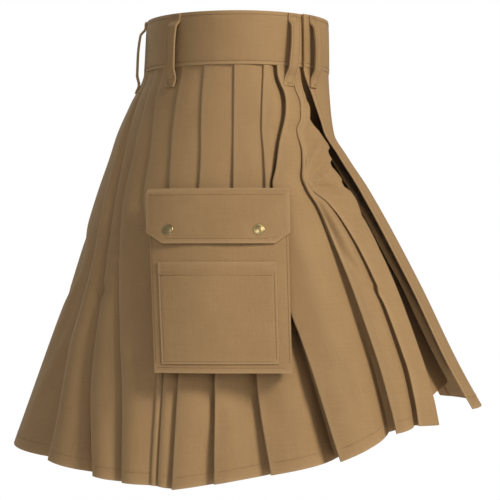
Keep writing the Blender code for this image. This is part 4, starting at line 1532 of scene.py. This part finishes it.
@dataclass
class Studio:
    """A pale floor, soft lights and the camera of the photograph."""

    floor_drop: float = 0.95
    floor_radius: float = 2.9
    camera_place: tuple[float, float, float] = (-3.0, 0.0, -0.330)
    focal_pixels: float = 2239.0
    sensor: float = 36.0

    def build(self) -> None:
        """Set up the floor, the world, the lights and the camera."""
        self.build_floor()
        self.build_world()
        self.add_light("key", (-1.9, -2.2, 1.5), (0.0, 0.0, -0.30), 1.0, 84.0, "#FFF8EE")
        self.add_light("fill", (-3.3, 0.6, 0.6), (0.0, 0.0, -0.35), 1.4, 17.0, "#F8F8FF")
        self.add_light("rim", (2.2, 1.4, 1.6), (0.0, 0.0, -0.25), 1.6, 26.0, "#FFFFFF")
        self.build_camera()

    def build_floor(self) -> None:
        """Lay the floor."""
        bpy.ops.object.select_all(action="DESELECT")
        bpy.ops.mesh.primitive_circle_add(
            vertices=128, radius=self.floor_radius, fill_type="NGON", location=(0.0, 0.0, -self.floor_drop)
        )
        floor = bpy.context.active_object
        floor.name = "floor"
        made = bpy.data.materials.new("pale_painted_floor")
        made.use_nodes = True
        shader = made.node_tree.nodes["Principled BSDF"]
        shader.inputs["Base Color"].default_value = linear_colour("#EDECEA")
        shader.inputs["Roughness"].default_value = 0.9
        floor.data.materials.append(made)

    def build_world(self) -> None:
        """Surround the scene with soft pale light."""
        world = bpy.data.worlds.new("studio")
        world.use_nodes = True
        tree = world.node_tree
        soft = tree.nodes["Background"]
        soft.inputs["Color"].default_value = linear_colour("#F4F6FA")
        soft.inputs["Strength"].default_value = 0.26
        white = add_node(tree, "ShaderNodeBackground", {}, {"Color": (1.0, 1.0, 1.0, 1.0), "Strength": 1.0})
        rays = add_node(tree, "ShaderNodeLightPath", {}, {})
        chosen = add_node(
            tree,
            "ShaderNodeMixShader",
            {},
            {0: rays.outputs["Is Camera Ray"], 1: soft.outputs["Background"], 2: white.outputs["Background"]},
        )
        tree.links.new(chosen.outputs[0], tree.nodes["World Output"].inputs["Surface"])
        bpy.context.scene.world = world
        bpy.context.scene.view_settings.view_transform = "Standard"

    def add_light(self, name: str, place: tuple, aim: tuple, size: float, power: float, colour: str) -> None:
        """Add one soft square light.

        Args:
            name: Its name.
            place: Where it stands.
            aim: What it points at.
            size: Width in metres.
            power: Power in watts.
            colour: Its sRGB hex colour.
        """
        data = bpy.data.lights.new(name, "AREA")
        data.shape = "SQUARE"
        data.size = size
        data.energy = power
        data.color = linear_colour(colour)[:3]
        light = bpy.data.objects.new(name, data)
        light.location = place
        light.rotation_euler = (Vector(aim) - Vector(place)).to_track_quat("-Z", "Y").to_euler()
        bpy.context.scene.collection.objects.link(light)

    def build_camera(self) -> None:
        """Place the camera where the photograph was taken from."""
        data = bpy.data.cameras.new("camera")
        data.sensor_width = self.sensor
        data.lens = self.focal_pixels / 500.0 * self.sensor
        data.shift_x = 0.024
        data.shift_y = 0.04
        camera = bpy.data.objects.new("camera", data)
        camera.location = self.camera_place
        camera.rotation_euler = (math.radians(90.0), 0.0, math.radians(-90.0))
        bpy.context.scene.collection.objects.link(camera)
        bpy.context.scene.camera = camera


# Folds in order round the garment, from the one beside the inner apron. The lines of those at
# the right side are read at more drops than the hidden ones, which repeat their kind.
FOLDS = (
    Fold(
        ((0.068, -39.2), (0.085, -39.8), (0.098, -41.1), (0.108, -43.6), (0.119, -45.0), (0.137, -43.8), (0.152, -39.2))
        + ((0.173, -38.3), (0.195, -35.0), (0.216, -31.6), (0.229, -33.5), (0.248, -40.3), (0.273, -43.8), (0.305, -46.4))
        + ((0.343, -47.8), (0.409, -48.3), (0.444, -48.1), (0.487, -46.1), (0.523, -43.6)),
        0.523, 0.007, 0.008, 0.001, 0.001, 0.002, dive=2.5,
    ),
    Fold(
        ((0.068, -37.6), (0.085, -38.2), (0.098, -39.4), (0.108, -41.7), (0.119, -43.1), (0.137, -41.9), (0.152, -37.6))
        + ((0.173, -36.6), (0.195, -33.4), (0.216, -30.2), (0.229, -30.9), (0.251, -33.8), (0.273, -35.0), (0.311, -36.0))
        + ((0.374, -37.3), (0.443, -38.1), (0.503, -37.1), (0.531, -36.2)),
        0.531, 0.014, 0.010, 0.002, 0.003, 0.003, dive=2.5,
    ),
    Fold(
        ((0.068, -25.4), (0.081, -25.9), (0.093, -27.8), (0.103, -30.0), (0.115, -30.8), (0.128, -30.3), (0.149, -27.6))
        + ((0.173, -22.6), (0.205, -17.8), (0.222, -15.3), (0.300, -14.2), (0.373, -14.8), (0.413, -16.9), (0.464, -18.9))
        + ((0.563, -21.0),),
        0.563, 0.024, 0.006, 0.005, 0.007, 0.003, 0.0060, 0.002, 3.4,
    ),
    Fold(
        ((0.068, -17.0), (0.127, -15.3), (0.175, -14.0), (0.222, -12.2), (0.343, -7.0), (0.458, -4.8), (0.579, -6.6)),
        0.579, 0.009, 0.012, 0.000, 0.004, 0.002, dive=2.0,
    ),
    plain_fold(1.8, 1.6, 6.5, 5.2, 0.590, 0.008, 0.012, 0.000, 0.004),
    plain_fold(20.1, 15.2, 16.6, 14.8, 0.597, 0.006, 0.010, 0.000, 0.005),
    plain_fold(35.0, 28.0, 22.6, 18.4, 0.594, 0.004, 0.008, 0.000, 0.001),
    Fold(
        ((0.068, 50.9), (0.097, 49.1), (0.144, 43.8), (0.170, 41.9), (0.234, 39.6), (0.300, 32.0), (0.420, 23.5))
        + ((0.593, 20.2),),
        0.593, 0.002, 0.003, 0.000, 0.000, 0.001,
    ),
    Fold(
        ((0.068, 60.6), (0.102, 57.3), (0.129, 54.4), (0.162, 52.7), (0.239, 50.4), (0.275, 48.0), (0.317, 44.6))
        + ((0.405, 37.4), (0.491, 31.5), (0.591, 27.3)),
        0.591, 0.008, 0.010, 0.001, 0.004, 0.003, dive=2.2,
    ),
    Fold(
        ((0.068, 69.5), (0.225, 57.5), (0.343, 50.5), (0.467, 44.1), (0.534, 39.2), (0.585, 35.7)),
        0.585, 0.020, -0.017, 0.000, 0.004, 0.003, dive=2.4,
    ),
    Fold(
        ((0.068, 76.2), (0.110, 71.0), (0.180, 66.8), (0.228, 64.5), (0.278, 60.8), (0.345, 58.4), (0.412, 58.4))
        + ((0.473, 55.6), (0.523, 53.4), (0.570, 52.4)),
        0.570, 0.014, 0.008, 0.005, 0.005, 0.003, 0.0030, 0.002, 3.0,
    ),
    Fold(
        ((0.068, 90.0), (0.225, 88.0), (0.259, 86.0), (0.284, 77.0), (0.305, 71.0), (0.327, 69.5), (0.347, 72.5))
        + ((0.380, 79.5), (0.430, 83.0), (0.557, 86.0)),
        0.557, 0.012, 0.012, 0.002, 0.004, 0.002, 0.0025, 0.001, 2.4,
    ),
    plain_fold(103.0, 103.0, 102.0, 101.0, 0.566, 0.009, 0.012, 0.000, 0.003),
    plain_fold(115.0, 116.0, 116.0, 115.0, 0.574, 0.009, 0.012, 0.001, 0.003),
    plain_fold(127.0, 129.0, 130.0, 129.0, 0.582, 0.009, 0.010, 0.000, 0.003),
    plain_fold(140.0, 143.0, 144.0, 143.0, 0.588, 0.008, 0.010, 0.001, 0.003),
    plain_fold(154.0, 157.0, 158.0, 157.0, 0.594, 0.008, 0.012, 0.000, 0.004),
    plain_fold(168.0, 171.0, 172.0, 171.0, 0.596, 0.008, 0.012, 0.000, 0.004),
    plain_fold(183.0, 187.0, 188.0, 187.0, 0.592, 0.008, 0.012, 0.001, 0.004),
    plain_fold(197.0, 203.0, 204.0, 204.0, 0.578, 0.009, 0.012, 0.000, 0.005),
    plain_fold(210.0, 219.0, 221.0, 221.0, 0.555, 0.010, 0.012, 0.002, 0.004),
    plain_fold(221.0, 232.0, 236.0, 237.0, 0.527, 0.010, 0.010, 0.000, 0.002),
)

# Creases: where each starts and ends (degrees, drop), its width, its depth and its bend
CREASES = (
    Crease(-31.0, 0.221, -54.0, 0.198, 0.0042, 0.0042, 0.002),
    Crease(-31.5, 0.214, -53.0, 0.183, 0.0048, -0.0045, 0.003),
    Crease(-34.0, 0.200, -56.0, 0.164, 0.0050, 0.0045, -0.003),
    Crease(-36.0, 0.182, -57.0, 0.148, 0.0055, -0.0040, 0.003),
    Crease(-39.0, 0.155, -52.0, 0.124, 0.0042, 0.0032, 0.002),
    Crease(-42.0, 0.130, -50.0, 0.104, 0.0040, -0.0028, 0.002),
    Crease(-32.0, 0.227, -57.0, 0.221, 0.0048, -0.0048, 0.002),
    Crease(-34.0, 0.232, -59.0, 0.240, 0.0055, 0.0042, -0.002),
    Crease(-38.0, 0.246, -60.0, 0.262, 0.0050, -0.0035, 0.002),
    Crease(-46.0, 0.268, -58.0, 0.300, 0.0070, 0.0030, 0.002),
    Crease(-32.0, 0.224, -37.5, 0.330, 0.0060, -0.0040, -0.003),
    Crease(-33.5, 0.235, -43.0, 0.345, 0.0080, 0.0040, -0.004),
    Crease(-38.0, 0.312, -47.0, 0.346, 0.0050, -0.0042, 0.003),
    Crease(-41.0, 0.322, -49.0, 0.356, 0.0045, 0.0035, 0.002),
    Crease(-44.0, 0.336, -52.0, 0.378, 0.0055, -0.0030, 0.002),
    Crease(-20.0, 0.260, -28.0, 0.380, 0.0150, 0.0030, 0.006),
    Crease(8.0, 0.486, -16.0, 0.505, 0.0380, -0.0120, 0.000),
    Crease(46.0, 0.352, 55.0, 0.362, 0.0090, -0.0035, 0.000),
    Crease(-12.0, 0.086, -24.0, 0.083, 0.0025, 0.0015, 0.000),
    Crease(-2.0, 0.470, -10.0, 0.570, 0.0110, 0.0018, 0.004),
    Crease(9.0, 0.460, 3.0, 0.560, 0.0090, -0.0015, -0.003),
    Crease(-22.0, 0.330, -30.0, 0.480, 0.0140, 0.0030, 0.008),
    Crease(-26.0, 0.430, -29.0, 0.560, 0.0090, -0.0022, 0.004),
    Crease(62.0, 0.300, 70.0, 0.470, 0.0110, -0.0030, 0.006),
    Crease(66.0, 0.400, 74.0, 0.550, 0.0120, 0.0030, -0.004),
    Crease(95.0, 0.250, 90.0, 0.420, 0.0110, -0.0028, 0.005),
    Crease(108.0, 0.330, 111.0, 0.520, 0.0130, 0.0026, -0.006),
    Crease(122.0, 0.260, 117.0, 0.400, 0.0090, -0.0022, 0.004),
    Crease(137.0, 0.380, 132.0, 0.560, 0.0120, 0.0026, 0.005),
    Crease(149.0, 0.280, 154.0, 0.430, 0.0100, -0.0026, -0.005),
    Crease(163.0, 0.440, 160.0, 0.570, 0.0110, 0.0020, 0.003),
    Crease(196.0, 0.470, 199.0, 0.570, 0.0110, -0.0020, 0.004),
    Crease(212.0, 0.300, 207.0, 0.450, 0.0120, 0.0028, -0.006),
    Crease(228.0, 0.330, 226.0, 0.500, 0.0100, -0.0026, 0.005),
    Crease(222.0, 0.225, 238.0, 0.262, 0.0070, -0.0028, 0.003),
    Crease(250.0, 0.200, 272.0, 0.330, 0.0180, -0.0028, 0.010),
    Crease(285.0, 0.180, 268.0, 0.300, 0.0160, 0.0026, 0.008),
    Crease(262.0, 0.330, 254.0, 0.480, 0.0190, 0.0030, -0.008),
    Crease(281.0, 0.330, 287.0, 0.490, 0.0170, -0.0026, 0.008),
)


def main() -> None:
    """Build every sub-assembly in order and dress it."""
    logging.basicConfig(level=logging.INFO, format="%(name)s: %(message)s")
    outline = Outline(creases=CREASES)
    thread = Seamstress()
    pleats = PleatedLength(outline, FOLDS)
    pleats.build(thread)
    aprons = Aprons(outline, pleats)
    aprons.build_under(thread)
    aprons.build_outer(thread)
    Waistband(outline).build(thread)
    BeltLoops(outline).build(thread)
    for side in Side:
        CargoPocket(outline, side).build(thread)
    thread.finish()
    Studio().build()


if __name__ == "__main__":
    main()
